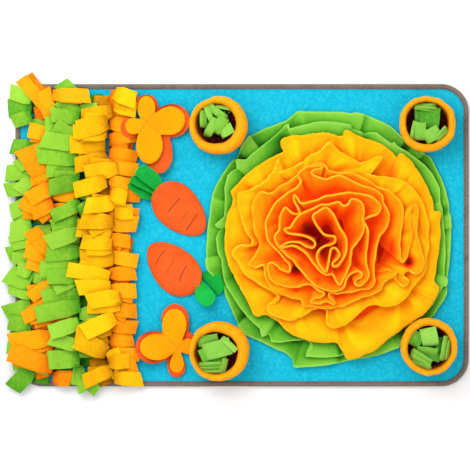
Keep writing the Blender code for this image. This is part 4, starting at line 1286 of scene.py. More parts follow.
@dataclass
class Ruffle:
    """A gathered ruffle: sewn down along its root, its free edge wandering in and out."""

    name: str
    node: str
    seed: int
    root: float
    height: float
    # how much it bells out and lies flat, and how much it stands up at its edge
    bell: float
    stand: float
    shade: float
    edge: tuple[tuple[float, ...], ...]
    cloth: Nap = PETAL
    # the cut edge's finish: a lighter copy of the fleece, a painted highlight
    cut: Nap = PETAL_EDGE_HIGHLIGHT
    foot: float = 6.9
    flange: float = 60.0
    flat_root: float = 14.0
    gather_mm: float = 13.0
    gather_depth: float = 3.2
    # how many points along the gathers lean from the edge to the root
    slant: float = 45.0
    lean_mm: float = 120.0
    crease_mm: float = 11.0
    # how far apart the places with creases lie, the edge's wiggles and its rises and falls
    crease_patch_mm: float = 60.0
    wander_mm: float = 22.0
    rise_mm: float = 45.0
    tip_lift: float = 0.25
    follow: float = 0.028
    # painted shade: towards the root, under the next ruffle's edge, in the gathers, at the floor and the
    # root, and where the two edges lie close together
    deepening: float = 0.5
    near_shade: float = 0.34
    near_mm: float = 8.0
    furrow_shade: float = 0.16
    floor_shade: float = 1.33
    root_shade: float = 0.95
    crowding: float = 0.3
    crowding_mm: float = 16.0
    edge_light: float = 0.0
    # a darker line just inside the free edge, where the cut edge throws its shadow: tone, place and reach
    edge_line: float = 0.16
    line_place: float = 0.09
    line_reach: float = 0.05
    darkest: float = 0.84
    wander: float = 1.6
    rise_and_fall: float = 3.0
    swell_mm: float = 24.0
    swell_height: float = 2.4
    lowest: float = 6.9
    straight: bool = False
    points_along: int = 720
    points_up: int = 15
    thickness: float = 4.2
    cut_width: float = 60.0
    centre: tuple[float, float] = (166.9, -5.6)

    def furrows(self, length: float) -> np.ndarray:
        """Finds how far the gathers lift or sink the cloth.

        Args:
            length: how long the free edge is.

        Returns:
            A value for each column of points, from about -2 to 1.
        """
        wave = ring_noise(self.points_along, length / self.gather_mm, self.seed * 3.3)
        sharp = ring_noise(self.points_along, length / self.gather_mm / 1.6, self.seed * 8.7)
        fine = ring_noise(self.points_along, length / self.crease_mm, self.seed * 4.9)
        patch = ring_noise(self.points_along, length / self.crease_patch_mm, self.seed * 9.9) + 0.3
        return wave + 0.6 - 1.6 * np.abs(sharp) - 1.1 * np.clip(patch, 0, 1) * np.abs(fine)

    def grid(self) -> tuple[np.ndarray, np.ndarray]:
        """Finds where the cloth's middle runs and its painted shade.

        Returns:
            Rows of places from the root to the edge, in mm, and the painted shade of every place.
        """
        full = closed_curve(about_middle(self.edge), self.points_along, self.straight)
        edge, lift = full[:, :2], full[:, 2]
        length = np.linalg.norm(np.roll(edge, -1, 0) - edge, axis=1).sum()
        turned = np.roll(edge, -2, 0) - np.roll(edge, 2, 0)
        turned /= np.linalg.norm(turned, axis=1)[:, None]
        wiggle = self.wander * ring_noise(self.points_along, length / self.wander_mm, self.seed * 2.1)
        edge = edge + np.stack([turned[:, 1], -turned[:, 0]], 1) * wiggle[:, None]
        soft = evened(edge, self.follow)
        middle = soft.mean(0)
        radius = np.linalg.norm(soft - middle, axis=1).mean()
        root = (soft - middle) * (self.root / radius) + middle
        floor = [(soft - middle) * (max(2.0, self.root - reach) / radius) + middle
                 for reach in (self.flange, min(self.flange, self.flat_root))]
        wave = self.furrows(length)
        lean = self.slant * ring_noise(self.points_along, length / self.lean_mm, self.seed * 6.3)
        slow = ring_noise(self.points_along, length / self.rise_mm, self.seed * 5.1)
        away = (edge - root) / np.maximum(1e-6, np.linalg.norm(edge - root, axis=1))[:, None]
        reach = np.linalg.norm(edge - middle, axis=1)
        top = self.height + self.tip_lift * (reach - evened(reach, 0.02)) + lift + self.rise_and_fall * slow
        low = np.full((self.points_along, 1), self.foot - 0.8)
        rows = [np.concatenate([ring, low], 1) for ring in floor]
        tones = [np.full(self.points_along, tone) for tone in (self.floor_shade, self.root_shade + 0.1)]
        for share in np.linspace(0, 1, self.points_up):
            up = share * math.pi / 2
            out = share + self.bell * (1 - math.cos(up) - share) + self.stand * (math.sin(up) - share)
            rise = share + self.bell * (math.sin(up) - share) + self.stand * (1 - math.cos(up) - share)
            fold = (0.9 * math.sin(math.pi * share) + 0.3 * share) * self.gather_depth
            here = np.interp(np.arange(self.points_along) + lean * (1 - share), np.arange(self.points_along),
                             wave, period=self.points_along)
            place = root + (edge - root) * out + away * (here * fold)[:, None] * 0.6
            level = self.foot + (top - self.foot) * rise + here * fold * 0.8
            rows.append(np.concatenate([place, level[:, None]], 1))
            # painted shade: deeper towards the root and in the gathers' furrows, the edge table's tone, a
            # painted highlight or shade at the very edge, a painted shadow line just inside it and the root's
            # shade
            deep = self.shade + self.deepening * (1 - share) ** 0.9
            deep = deep + full[:, 3] * (1.0 if self.straight else (1 - share) ** 0.6)
            deep -= self.furrow_shade * here * math.sin(math.pi * share)
            deep -= self.edge_light if share == 1.0 else 0.0
            deep += self.edge_line * math.exp(-((1 - share - self.line_place) / self.line_reach) ** 2)
            tones.append(deep + (self.root_shade - deep) * max(0.0, 1 - share / 0.12))
        return np.array(rows), np.concatenate(tones)

    def build(self, inside: "Ruffle | None") -> None:
        """Builds the ruffle and hands it over.

        Args:
            inside: the next ruffle towards the middle, whose edge shades this one.
        """
        grid, shade = self.grid()
        lines = len(grid)
        up = np.repeat(np.concatenate([[0.0, 0.0], np.linspace(0, 1, self.points_up)]), self.points_along)
        spots = grid.reshape(-1, 3)
        # painted shade: darker under the next ruffle's edge and down narrow valleys between the two edges
        if inside is not None:
            near = closed_curve(about_middle(inside.edge), 360)[:, :2]
            gap = np.sqrt(((spots[:, None, :2] - near[None]) ** 2).sum(2).min(1))
            shade += self.near_shade * np.exp(-gap / self.near_mm) * np.clip((1 - up) * 5, 0, 1)
            valley = np.tile(gap[-self.points_along:], lines)
            shade += self.crowding * np.exp(-valley / self.crowding_mm) * (1 - up) ** 0.7 * (up > 0)
        # painted shade is capped, then deepened to painted shadow where one looks down between the ruffles
        if self.cloth is PETAL:
            shade = np.minimum(shade, self.darkest)
            for x, y, radius, depth in DEEP_SHADOW_PLACES:
                near = np.exp(-(((spots[:, :2] - (x, y)) ** 2).sum(1) / radius ** 2) ** 1.5)
                shade += np.maximum(0.0, depth - shade) * near * np.clip((1 - up) * 3.0, 0, 1)
        spots = (spots + np.array((*self.centre, 0.0))) * MM
        shift = swell(spots, self.swell_mm, self.swell_height, self.seed * 7.0)
        spots += shift * np.clip(up * 1.6, 0, 1)[:, None] * np.array((0.4, 0.4, 0.8))
        spots[:, 2] = np.maximum(spots[:, 2], self.lowest * MM)
        piece = cloth_piece(self.name, spots, ring_faces(lines, self.points_along), shade, self.cloth,
                            self.cut, wall_mm=self.thickness, crisp=40.0 if self.straight else 0.0)
        hand_over(piece, self.node, self.cut_width)


# where the ruffles part and one looks down between them into shadow: middle, radius and the tone of the
# painted shade there
DEEP_SHADOW_PLACES = (
    (-20, 2, 32, 1.0), (-38, 20, 14, 1.3), (-16, -4, 13, 1.3), (-11, -27, 10, 1.25), (-60, -62, 15, 1.3),
    (164, -47, 13, 1.3), (135, -19, 20, 1.0), (82, -14, 26, 1.0),
    (8, 27, 12, 1.0), (-128, -6, 11, 0.95), (39, -63, 9, 1.0), (-91, 90, 8, 0.95), (-8, 88, 7, 0.92),
    (-60, -103, 7, 0.95), (-80, 6, 7, 1.0), (51, -72, 6, 0.95), (16, 58, 7, 0.95), (-20, -86, 8, 0.9),
    (60, -96, 9, 0.9), (-96, -52, 9, 0.85))


# heading and radius of each turn of a ruffle's free edge, and in a few rows lift and tone, a painted shade
# where one looks down past the edge
EDGE_1 = (
    (356, 224), (7, 228), (13, 231), (14, 221), (20, 224), (31, 224), (41, 226), (49, 224), (48, 216),
    (55, 217), (62, 215), (72, 213), (80, 216), (81, 207), (89, 208), (98, 209), (106, 211), (114, 215),
    (116, 205), (116, 194), (126, 194), (136, 198), (147, 206), (154, 211), (157, 202), (164, 200),
    (174, 201), (184, 202), (191, 203), (195, 202), (203, 200), (216, 199), (228, 208), (232, 193),
    (240, 194), (249, 202), (258, 204), (267, 207), (276, 209), (278, 225), (280, 245), (289, 243),
    (297, 238), (306, 233), (318, 241), (326, 247), (336, 244), (338, 231), (346, 226))
EDGE_2 = (
    (352, 203), (3, 204), (13, 204), (22, 202), (32, 197), (39, 184), (45, 169), (53, 155), (59, 154),
    (58, 165), (55, 184), (55, 195), (58, 191), (62, 175), (66, 163), (74, 167), (83, 178), (88, 191),
    (94, 174), (104, 163), (116, 156), (126, 163), (125, 176), (121, 184), (130, 168), (140, 170),
    (149, 185), (153, 195), (159, 187), (166, 175), (175, 161), (182, 149), (187, 156), (185, 172),
    (189, 191), (196, 184), (206, 174), (215, 161), (224, 152), (231, 152), (232, 164), (229, 178),
    (231, 189), (237, 187), (245, 180), (252, 166), (258, 148), (266, 138), (271, 147), (270, 166),
    (273, 178), (279, 179), (287, 169), (297, 159), (306, 164), (312, 184), (321, 195), (331, 198),
    (337, 203, 0, 0.4), (342, 204, 0, 1.1), (347, 203, 0, 0.4))
EDGE_3 = (
    (342, 200), (348, 196), (356, 185), (8, 180), (16, 189), (22, 186), (15, 173), (2, 169), (350, 165),
    (342, 158), (355, 146), (10, 151), (22, 162), (30, 162), (38, 154), (46, 144), (60, 140), (71, 137),
    (80, 131), (88, 133), (93, 149), (101, 148), (115, 139), (130, 138), (142, 144), (145, 160),
    (153, 161), (164, 152), (176, 141), (186, 133), (195, 151), (198, 163), (202, 155), (203, 137),
    (211, 143), (219, 147), (228, 145), (238, 139), (247, 133), (251, 143), (259, 139), (272, 140),
    (285, 138), (300, 137), (308, 142), (316, 149), (320, 144), (328, 149), (335, 156), (331, 157),
    (328, 172), (328, 183), (332, 183), (334, 169), (338, 174), (338, 192))
EDGE_4 = (
    (334, 105), (347, 101), (1, 107), (11, 123), (19, 132), (26, 132), (32, 132), (37, 139), (42, 136),
    (50, 130), (60, 123), (71, 125), (79, 128), (85, 123), (90, 118), (97, 121), (101, 126), (103, 133),
    (99, 138), (95, 138), (93, 144), (103, 147), (110, 144), (115, 137), (114, 125), (120, 117),
    (131, 118), (143, 121), (155, 123), (165, 124), (174, 121), (184, 113), (195, 100), (207, 94),
    (217, 91), (223, 102), (216, 108), (209, 112), (204, 121), (206, 129), (213, 136), (220, 135),
    (229, 127), (238, 115), (244, 103), (250, 98), (261, 105), (268, 111), (265, 118), (258, 123),
    (256, 130), (263, 132), (270, 126), (276, 132), (277, 128), (273, 118), (274, 110), (281, 112),
    (292, 115), (303, 121), (310, 130), (318, 130), (325, 113))
EDGE_5 = (
    (0, 81), (15, 80), (26, 81), (27, 94), (26, 112), (31, 123), (37, 124), (45, 118), (55, 108),
    (71, 94), (87, 84), (104, 78), (116, 79), (127, 87), (127, 98), (127, 106), (131, 98), (134, 83),
    (138, 73), (145, 84), (144, 102), (153, 102), (162, 98), (171, 96), (179, 104), (188, 100),
    (198, 90), (207, 83), (214, 78), (225, 79), (237, 83), (248, 89), (259, 97), (270, 104), (281, 106),
    (288, 103), (295, 90), (306, 84), (314, 90), (315, 100), (311, 104), (305, 103), (302, 107),
    (304, 113), (311, 115), (319, 111), (326, 95), (336, 84), (348, 82))
EDGE_6 = (
    (3, 69), (16, 76), (27, 79), (36, 91), (44, 98), (52, 97), (58, 90), (58, 78), (63, 72), (71, 76),
    (78, 72), (89, 66), (105, 66), (122, 65), (136, 69), (148, 73), (157, 74), (164, 77), (168, 86),
    (172, 79), (173, 63), (175, 46), (183, 31), (204, 25), (215, 33), (206, 42), (190, 54), (186, 67),
    (188, 83), (192, 95), (192, 84), (193, 69), (201, 57), (220, 51), (244, 57), (260, 67), (270, 73),
    (279, 73), (283, 88), (286, 96), (292, 87), (303, 77), (312, 70), (323, 60), (338, 55), (351, 60))
EDGE_7 = (
    (349, 40), (15, 35), (42, 34), (65, 42), (79, 52), (89, 59), (99, 58), (110, 55), (122, 52),
    (127, 41), (130, 26), (128, 11), (48, 6), (8, 15), (335, 18), (297, 15), (254, 16), (237, 27),
    (240, 40), (252, 53), (263, 63), (269, 67), (273, 55), (278, 36), (290, 24), (306, 24), (311, 32),
    (307, 42), (296, 46), (284, 51), (283, 56), (290, 59), (300, 55), (315, 49), (333, 44))


# the two green rings: heading, radius, lift and tone, the tone a painted shade of the pleats' facets, a pleat
# wherever lift and tone jump
LEAF_EDGE_1 = (
    (0, 248, 2, 0.1), (4, 248, 0, 0.45), (4.8, 250, 4, 0), (9.5, 251, 4, 0), (12, 250, 0, 0.6),
    (14, 252, 0, 0.55), (16.5, 253, 2, 0.25), (21, 255, 2, 0.3), (27, 257, 2, 0.45), (33, 259, 1, 0.55),
    (38, 262, 1, 0.6), (40.4, 258, 0, 0.75), (41, 257, 3, 0.3), (46, 254, 2, 0.3), (48, 250, 0, 0.9),
    (50, 250, 0, 1), (51.5, 250, 1, 0.3), (56, 253, 2, 0.3), (60, 256, 3, 0.25), (64, 256, 3, 0.2),
    (69, 256, 2, 0.2), (72.2, 256, 1, 0.6), (73, 257, 5, 0.1), (77, 256, 4, 0.05), (79, 252, 3, 0.1),
    (85, 252, 2, 0.1), (90, 251, 2, 0.12), (100.2, 255, 4, 0.3), (101, 257, 2, 0.05), (103, 258, 1, 0.25),
    (106, 251, 0, 0.5), (109, 246, 1, 0.35), (113, 246, 2, 0.35), (119.5, 249, 2, 0.42), (124, 251, 1, 0.6),
    (126.5, 252, 0, 0.8), (127.3, 254, 5, 0.1), (132, 250, 4, 0.15), (134, 245, 3, 0.4), (136, 241, 1, 0.9),
    (138.8, 238, 0, 0.9), (139.6, 240, 2, 0.45), (142, 242, 3, 0.5), (149, 242, 2, 0.45), (155, 242, 2, 0.4),
    (160, 241, 2, 0.45), (160.8, 240, 4, 0.12), (164, 239, 3, 0.3), (168, 236, 1, 0.4), (174, 236, 2, 0.25),
    (180, 236, 2, 0.2), (186, 240, 1, 0.35), (189, 240, 0, 0.55), (190, 243, 4, 0.12), (194, 245, 4, 0.2),
    (196, 243, 2, 0.4), (200, 234, 1, 0.5), (206, 226, 1, 0.4), (210, 231, 2, 0.3), (216, 234, 2, 0.35),
    (220, 239, 1, 0.5), (224, 244, 0, 0.9), (225, 248, 4, 0.25), (230, 250, 3, 0.3), (234, 246, 2, 0.45),
    (237, 243, 2, 0.3), (243, 242, 2, 0.25), (247, 242, 2, 0.2), (251, 242, 1, 0.4), (254, 248, 0, 0.5),
    (256, 264, 1, 0.5), (257, 264, 4, 0.3), (260, 260, 4, 0.2), (265, 256, 3, 0.15), (270, 253, 3, 0.12),
    (274, 250, 2, 0.25), (276, 249, 0, 0.7), (280, 247, 0, 0.4), (287, 250, 1, 0.2), (294, 255, 2, 0.15),
    (300, 258, 3, 0.15), (303.5, 261, 4, 0.2), (305, 258, 2, 0.3), (309, 250, 0, 0.9), (315, 252, 0, 0.8),
    (320, 258, 0, 0.6), (324, 263, 1, 0.5), (329, 262, 2, 0.45), (332, 264, 3, 0.3), (335, 264, 3, 0.25),
    (338, 260, 1, 0.5), (339, 256, 1, 0.4), (345, 251, 2, 0.3), (352, 248, 3, 0.2))
LEAF_EDGE_2 = (
    (0, 236, 2, 0.2), (5, 235, 3, 0.2), (9.6, 235, 3, 0.25), (12.5, 236, 2, 0.35), (13.4, 237, 5, 0),
    (17.3, 237, 5, 0.05), (18, 238, 2, 0.35), (23.7, 246, 2, 0.2), (31, 246, 2, 0.25), (37, 243, 2, 0.35),
    (41, 239, 3, 0.3), (47, 235, 3, 0.2), (52.6, 231, 4, 0.1), (54.6, 234, 4, 0), (55.4, 228, 4, 0),
    (60, 229, 2, 0.08), (64.5, 232, 2, 0.15), (68, 227, 1, 0.4), (70.3, 219, 0, 0.6), (71, 222, 3, 0.2),
    (76.6, 222, 1, 0.5), (78, 230, 3, 0.15), (85, 231, 2, 0.1), (90, 232, 2, 0.12), (96, 231, 2, 0.12),
    (101, 229, 2, 0.1), (108, 229, 3, 0.1), (109.3, 231, 5, 0), (108.4, 238, 3, 0.1), (110, 238, 1, 0.4),
    (114, 231, 2, 0.7), (120, 224, 3, 0.65), (125.6, 223, 3, 0.35), (132.6, 223, 3, 0.2),
    (135.4, 222, 2, 0.2), (137.2, 229, 3, 0.1), (138.4, 236, 5, 0.05), (139.6, 236, 5, 0),
    (141.5, 227, 3, 0.1), (142.3, 225, 0, 0.65), (145, 230, 1, 0.4), (147.7, 232, 3, 0.25),
    (153.9, 225, 3, 0.25), (157.8, 217, 3, 0.3), (163.2, 210, 2, 0.35), (168, 207, 3, 0.25),
    (170.5, 214, 4, 0.1), (173.2, 223, 5, 0), (174.4, 218, 4, 0.1), (175, 208, 1, 0.65), (177, 214, 1, 0.5),
    (180, 219, 2, 0.35), (188.3, 217, 3, 0.25), (191.7, 212, 3, 0.3), (197.3, 216, 2, 0.3),
    (202.6, 219, 1, 0.55), (206.6, 220, 2, 0.35), (218.9, 220, 2, 0.3), (224.4, 221, 2, 0.3),
    (230, 222, 3, 0.25), (234, 223, 2, 0.2), (235.6, 229, 4, 0.1), (236.8, 234, 5, 0), (238, 229, 3, 0.2),
    (239, 222, 0, 0.65), (241, 228, 1, 0.5), (242.2, 233, 3, 0.3), (246.6, 226, 3, 0.35),
    (251.4, 215, 3, 0.5), (255.7, 210, 3, 0.35), (258.2, 206, 3, 0.2), (262, 211, 5, 0.1),
    (263, 222, 5, 0.05), (260.8, 230, 3, 0.1), (260, 238, 4, 0.05), (264.4, 237, 3, 0.12),
    (270, 237, 3, 0.12), (275, 236, 1, 0.3), (276.8, 236, 0, 0.8), (280, 232, 1, 0.4), (290, 235, 2, 0.2),
    (297, 235, 2, 0.1), (305.6, 236, 4, 0.05), (306.8, 234, 0, 0.8), (310, 236, 1, 0.5), (316, 240, 2, 0.35),
    (322.8, 246, 2, 0.3), (328.5, 250, 3, 0.25), (337.2, 250, 3, 0.2), (338.4, 257, 5, 0),
    (341, 255, 5, 0.05), (342.2, 246, 1, 0.4), (346, 242, 2, 0.35), (352.4, 239, 3, 0.2))


# what the two flat green rings share, painted highlights on and along their cut edges among it
PLEATED = dict(cloth=RUFFLE_GREEN, cut=RUFFLE_EDGE_HIGHLIGHT, flange=4.0, follow=0.02, tip_lift=0.1, deepening=0.3,
               thickness=2.6, wander=0.4, rise_and_fall=0.4, swell_height=0.5, straight=True,
               furrow_shade=0.03, floor_shade=0.9, crowding=0.0, edge_light=0.6, edge_line=0.0)


@dataclass
class Flower:
    """The ruffled flower: two flat green rings, then seven gathered ruffles, outermost first."""

    leaves: tuple[Ruffle, ...] = (
        Ruffle("cloth_leaf_ruffle_1", "flower_leaf_ruffle_1", 21, 190, 9.4, 0.1, 0.0, 0.1, LEAF_EDGE_1,
               **PLEATED, gather_depth=0.4, foot=7.0, near_shade=0.35),
        Ruffle("cloth_leaf_ruffle_2", "flower_leaf_ruffle_2", 22, 184, 15.0, 0.3, 0.0, 0.06, LEAF_EDGE_2,
               **PLEATED, gather_depth=0.5, foot=9.0, near_shade=0.4))
    ruffles: tuple[Ruffle, ...] = (
        Ruffle("flower_petals_1", "flower_ruffle_1", 1, 150, 27, 0.6, 0.0, 0.07, EDGE_1, gather_mm=30.0,
               gather_depth=5.0, deepening=0.16, rise_and_fall=1.5, wander=1.0, crowding=0.12,
               near_shade=0.2),
        Ruffle("flower_petals_2", "flower_ruffle_2", 2, 116, 36, 0.4, 0.0, 0.07, EDGE_2, gather_mm=26.0,
               gather_depth=5.0, wander=0.8, crowding=0.1, near_shade=0.22, deepening=0.16),
        Ruffle("flower_petals_3", "flower_ruffle_3", 3, 86, 43, 0.2, 0.1, 0.18, EDGE_3, gather_mm=24.0,
               gather_depth=5.0, wander=0.8, edge_light=-0.08),
        Ruffle("flower_petals_4", "flower_ruffle_4", 4, 74, 50, 0.1, 0.2, 0.26, EDGE_4, gather_mm=22.0,
               gather_depth=4.5, wander=0.8, edge_light=-0.12),
        Ruffle("flower_petals_5", "flower_ruffle_5", 5, 52, 57, 0.1, 0.25, 0.3, EDGE_5, gather_mm=20.0,
               gather_depth=4.0, wander=0.8, edge_light=-0.14),
        Ruffle("flower_petals_6", "flower_ruffle_6", 6, 36, 62, 0.1, 0.25, 0.32, EDGE_6, gather_mm=18.0,
               wander=0.6, edge_light=-0.16),
        Ruffle("flower_petals_7", "flower_ruffle_7", 7, 20, 65, 0.1, 0.25, 0.34, EDGE_7, gather_mm=16.0,
               gather_depth=2.2, wander=0.4, rise_and_fall=1.5, edge_light=-0.18))

    def build(self) -> None:
        """Builds every ring, from the outside in."""
        rings = (*self.leaves, *self.ruffles)
        for ring, inside in zip(rings, (*rings[1:], None)):
            ring.build(inside)


# ---- leaves and lines of the flat figures -----------------------------------------------------------
@dataclass(frozen=True)
class LeafBlade:
    """A blade cut from green fleece, sewn down at its root and lying over what is there."""

    node: str
    # its outline in mm, anticlockwise, the root's end first
    outline: tuple[tuple[float, float], ...]
    tone: float = 0.3
    root_height: float = 7.2
    least_slope: float = 0.1
    steps: int = 120
    shares: tuple[float, ...] = (1.0, 0.94, 0.84, 0.68, 0.5, 0.3, 0.12)
    dome: float = 1.6
    clearance: float = 0.5
    sewn_down: float = 24.0
    feel: float = 4.0
    # painted shade: how much darker it is at its root, and a painted shadow close by the blade above, and how
    # far that reaches
    root_painted_shade: float = 0.25
    root_mm: float = 30.0
    near_shadow: float = 0.9
    near_mm: float = 3.0
    swell_mm: float = 18.0
    swell_height: float = 0.6
    thickness: float = 2.8
    cut_width: float = 32.0

    def edge(self) -> np.ndarray:
        """The outline as a closed line of points."""
        return closed_curve(np.array(self.outline, float), self.steps)

    def build(self, field: HeightField, above: "LeafBlade | None") -> None:
        """Builds the blade.

        Args:
            field: what lies there.
            above: the blade that lies partly over this one and shades it.
        """
        edge = self.edge()
        middle = edge.mean(0)
        flat = np.concatenate([middle + (edge - middle) * share for share in self.shares] + [middle[None]])
        root = np.array(self.outline[0])
        away = np.linalg.norm(flat - root, axis=1)
        need = (np.array([field.highest(x, y, self.feel) for x, y in flat])
                + self.thickness / 2 + self.clearance)
        slope = max(self.least_slope, float(((need - self.root_height) / away)[away > self.sewn_down].max()))
        share = np.concatenate([np.repeat(self.shares, self.steps), [0.0]])
        level = self.root_height + slope * away + self.dome * (1 - share ** 2)
        # painted shade near the root, and a painted shadow along the edge of the blade above
        shade = self.tone + self.root_painted_shade * np.clip(1 - away / self.root_mm, 0, 1)
        if above is not None:
            gap = np.sqrt(((flat[:, None] - above.edge()[None]) ** 2).sum(2).min(1))
            shade = shade + self.near_shadow * np.exp(-gap / self.near_mm)
        faces = ring_faces(len(self.shares), self.steps)
        last = (len(self.shares) - 1) * self.steps
        faces += [(last + i, last + (i + 1) % self.steps, len(flat) - 1) for i in range(self.steps)]
        spots = np.concatenate([flat, level[:, None]], 1) * MM
        spots += swell(spots, self.swell_mm, self.swell_height, 51.0)
        piece = cloth_piece(f"cloth_{self.node}", spots, faces, shade, LEAF,
                            wall_mm=self.thickness, crisp=50.0)
        hand_over(piece, self.node, self.cut_width)
        field.cover_piece(piece)


TOP_BLADES = (
    LeafBlade("carrot_top_leaf_1", (
        (-166, 76), (-172, 80), (-190, 88), (-207, 96), (-218.5, 101.5), (-224.6, 103), (-225.5, 97),
        (-218.5, 88.5), (-208, 81), (-197.5, 72.5), (-186, 70.5), (-175.5, 70.5), (-169, 72)), 0.42),
    LeafBlade("carrot_top_leaf_2", (
        (-165, 80), (-169, 85), (-189, 101), (-204, 113), (-210, 117.5), (-216, 115.5), (-220.5, 109.5),
        (-220, 104.5), (-216, 101.5), (-203, 94.5), (-188, 86.5), (-173, 78.5), (-168, 77)), 0.3),
    LeafBlade("carrot_top_leaf_3", (
        (-162, 83), (-158, 94), (-158, 103), (-163, 117), (-173, 127), (-183, 134), (-192, 137.8),
        (-201, 134.5), (-207.7, 127.5), (-210.5, 119.5), (-205.5, 114), (-190, 102), (-170, 86.5),
        (-166, 83)), 0.22))
BOTTOM_BLADES = (
    LeafBlade("carrot_bottom_leaf_2", (
        (-82, -80), (-76, -74), (-66, -72.4), (-53.6, -73.7), (-45.3, -77.4), (-40.4, -86.5), (-36.2, -99),
        (-38, -109), (-43, -115.5), (-50, -118.5), (-55.5, -112), (-66, -98), (-77, -88)), 0.4),
    LeafBlade("carrot_bottom_leaf_1", (
        (-82, -86), (-78, -91), (-66.5, -102), (-53.5, -117.5), (-53, -121), (-54.5, -129.5), (-62, -138.7),
        (-71, -141.2), (-81.8, -136.2), (-90, -127), (-93.4, -117.2), (-91, -105.6), (-86.7, -94)), 0.24))


@dataclass(frozen=True)
class DrawnLine:
    """Lines of stitches or small slits on a figure's face."""

    name: str
    stitching: Stitching
    # start and end of each line, in mm
    ends: tuple[tuple[float, float, float, float], ...]
    bow: float = 0.0
    step_mm: float = 2.0

    def build(self, figure: bpy.types.Object) -> None:
        """Lays the lines on the figure.

        Args:
            figure: the finished piece that they are sewn on.
        """
        mesh = figure.data
        tree = BVHTree.FromPolygons([v.co for v in mesh.vertices], [tuple(p.vertices) for p in mesh.polygons])
        lines = []
        for x0, y0, x1, y1 in self.ends:
            count = max(3, round(math.hypot(x1 - x0, y1 - y0) / self.step_mm))
            line = []
            for share in np.linspace(0, 1, count):
                side = self.bow * math.sin(math.pi * share)
                x, y = x0 + (x1 - x0) * share + side, y0 + (y1 - y0) * share
                found = tree.ray_cast(Vector((x * MM, y * MM, 0.2)), Vector((0, 0, -1)))[0]
                if found is not None:
                    line.append((x * MM, y * MM, found.z + 0.2 * MM))
            lines.append(line)
        self.stitching.sew(self.name, lines)


WING_SEAM = Stitching("stitches_wing", STITCH_AMBER, stitch_mm=3.4, gap_mm=0.6, radius_mm=0.7)
DART = Stitching("stitches_dart", STITCH_UMBER, stitch_mm=3.2, gap_mm=0.2, radius_mm=0.9)
FINE_DART = Stitching("stitches_fine_dart", STITCH_UMBER, stitch_mm=2.6, gap_mm=0.8, radius_mm=0.5)
DRAWN_LINES = {
    "butterfly_top_wings": (DrawnLine("seam_butterfly_top", WING_SEAM, (
        (-199.9, 234.9, -165.7, 202.3), (-170.1, 247.6, -187.8, 226.3), (-187.8, 226.3, -205.5, 200.9))),),
    "butterfly_bottom_wings": (DrawnLine("seam_butterfly_bottom", WING_SEAM, (
        (-157.2, -195.7, -127.4, -224.1), (-109.1, -202.9, -127.4, -224.1),
        (-127.4, -224.1, -144.5, -246.8))),),
    "carrot_top_body": (
        DrawnLine("dart_carrot_top_1", DART, ((-145.1, 47.1, -124.8, 71.3),), -1.5),
        DrawnLine("dart_carrot_top_2", FINE_DART, ((-120.8, 27.8, -108.7, 46.1),)),
        DrawnLine("dart_carrot_top_3", DART, ((-109.7, 11.5, -89.4, 40.9),))),
    "carrot_bottom_body": (
        DrawnLine("dart_carrot_bottom_1", DART, ((-170.5, -56.4, -154.2, -31),), -1.0),
        DrawnLine("dart_carrot_bottom_2", FINE_DART, ((-151, -75.7, -135.1, -49.3),)),
        DrawnLine("dart_carrot_bottom_3", DART, ((-123.8, -89.8, -110.7, -61.4),), -1.5)),
}


# ---- the rest of the mat --------------------------------------------------------------------------
# strips of each row, and of those laid last: along the seam, reach, heading, width
GREEN_OUTER_STRIPS = (
    (268, 42, 155, 24), (250, 43, 180, 32), (234, 36, 186, 22), (217, 25, 335, 28), (198, 26, 350, 24),
    (187, 34, 352, 24), (177, 37, 173, 26), (165, 33, 6, 24), (154, 30, 205, 24), (141, 34, 0, 24),
    (129, 51, 188, 28), (113, 36, 225, 24), (95, 46, 195, 26), (80, 34, 350, 26), (66, 41, 208, 26),
    (54, 33, 8, 24), (42, 40, 176, 24), (16, 45, 193, 36), (4, 34, 356, 24), (-8, 38, 190, 24),
    (-29, 43, 181, 26), (-40, 34, 4, 24), (-50, 34, 168, 24), (-72, 28, 149, 24), (-83, 33, 352, 24),
    (-94, 53, 166, 32), (-106, 34, 2, 24), (-119, 43, 167, 24), (-138, 52, 189, 32), (-149, 34, 358, 24),
    (-160, 40, 184, 24), (-181, 47, 170, 26), (-200, 38, 178, 24), (-220, 45, 189, 24), (-231, 33, 10, 24),
    (-242, 40, 196, 26), (-253, 34, 354, 24), (-264, 47, 232, 30))
ORANGE_OUTER_STRIPS = (
    (259, 41, 340, 24), (239, 90, 135, 24), (220, 66, 108, 24), (198, 48, 166, 26), (186, 42, 354, 24),
    (174, 69, 198, 30), (160, 43, 4, 24), (145, 46, 207, 26), (133, 42, 358, 24), (122, 48, 190, 26),
    (111, 42, 8, 24), (100, 48, 212, 30), (81, 40, 355, 26), (62, 44, 209, 28), (50, 43, 352, 26),
    (38, 64, 158, 24), (20, 34, 352, 24), (2, 42, 8, 24), (-16, 48, 172, 26), (-28, 42, 2, 24),
    (-40, 60, 140, 28), (-56, 43, 356, 26), (-71, 48, 156, 24), (-90, 50, 214, 22), (-110, 48, 188, 26),
    (-129, 60, 216, 26), (-141, 42, 6, 24), (-153, 44, 193, 28), (-176, 34, 351, 28), (-204, 79, 191, 36),
    (-219, 42, 2, 24), (-234, 48, 170, 28), (-246, 43, 8, 24), (-259, 84, 163, 32), (-280, 36, 356, 26))
ORANGE_OUTER_LAST = (
    (278, 66, 2, 26),)
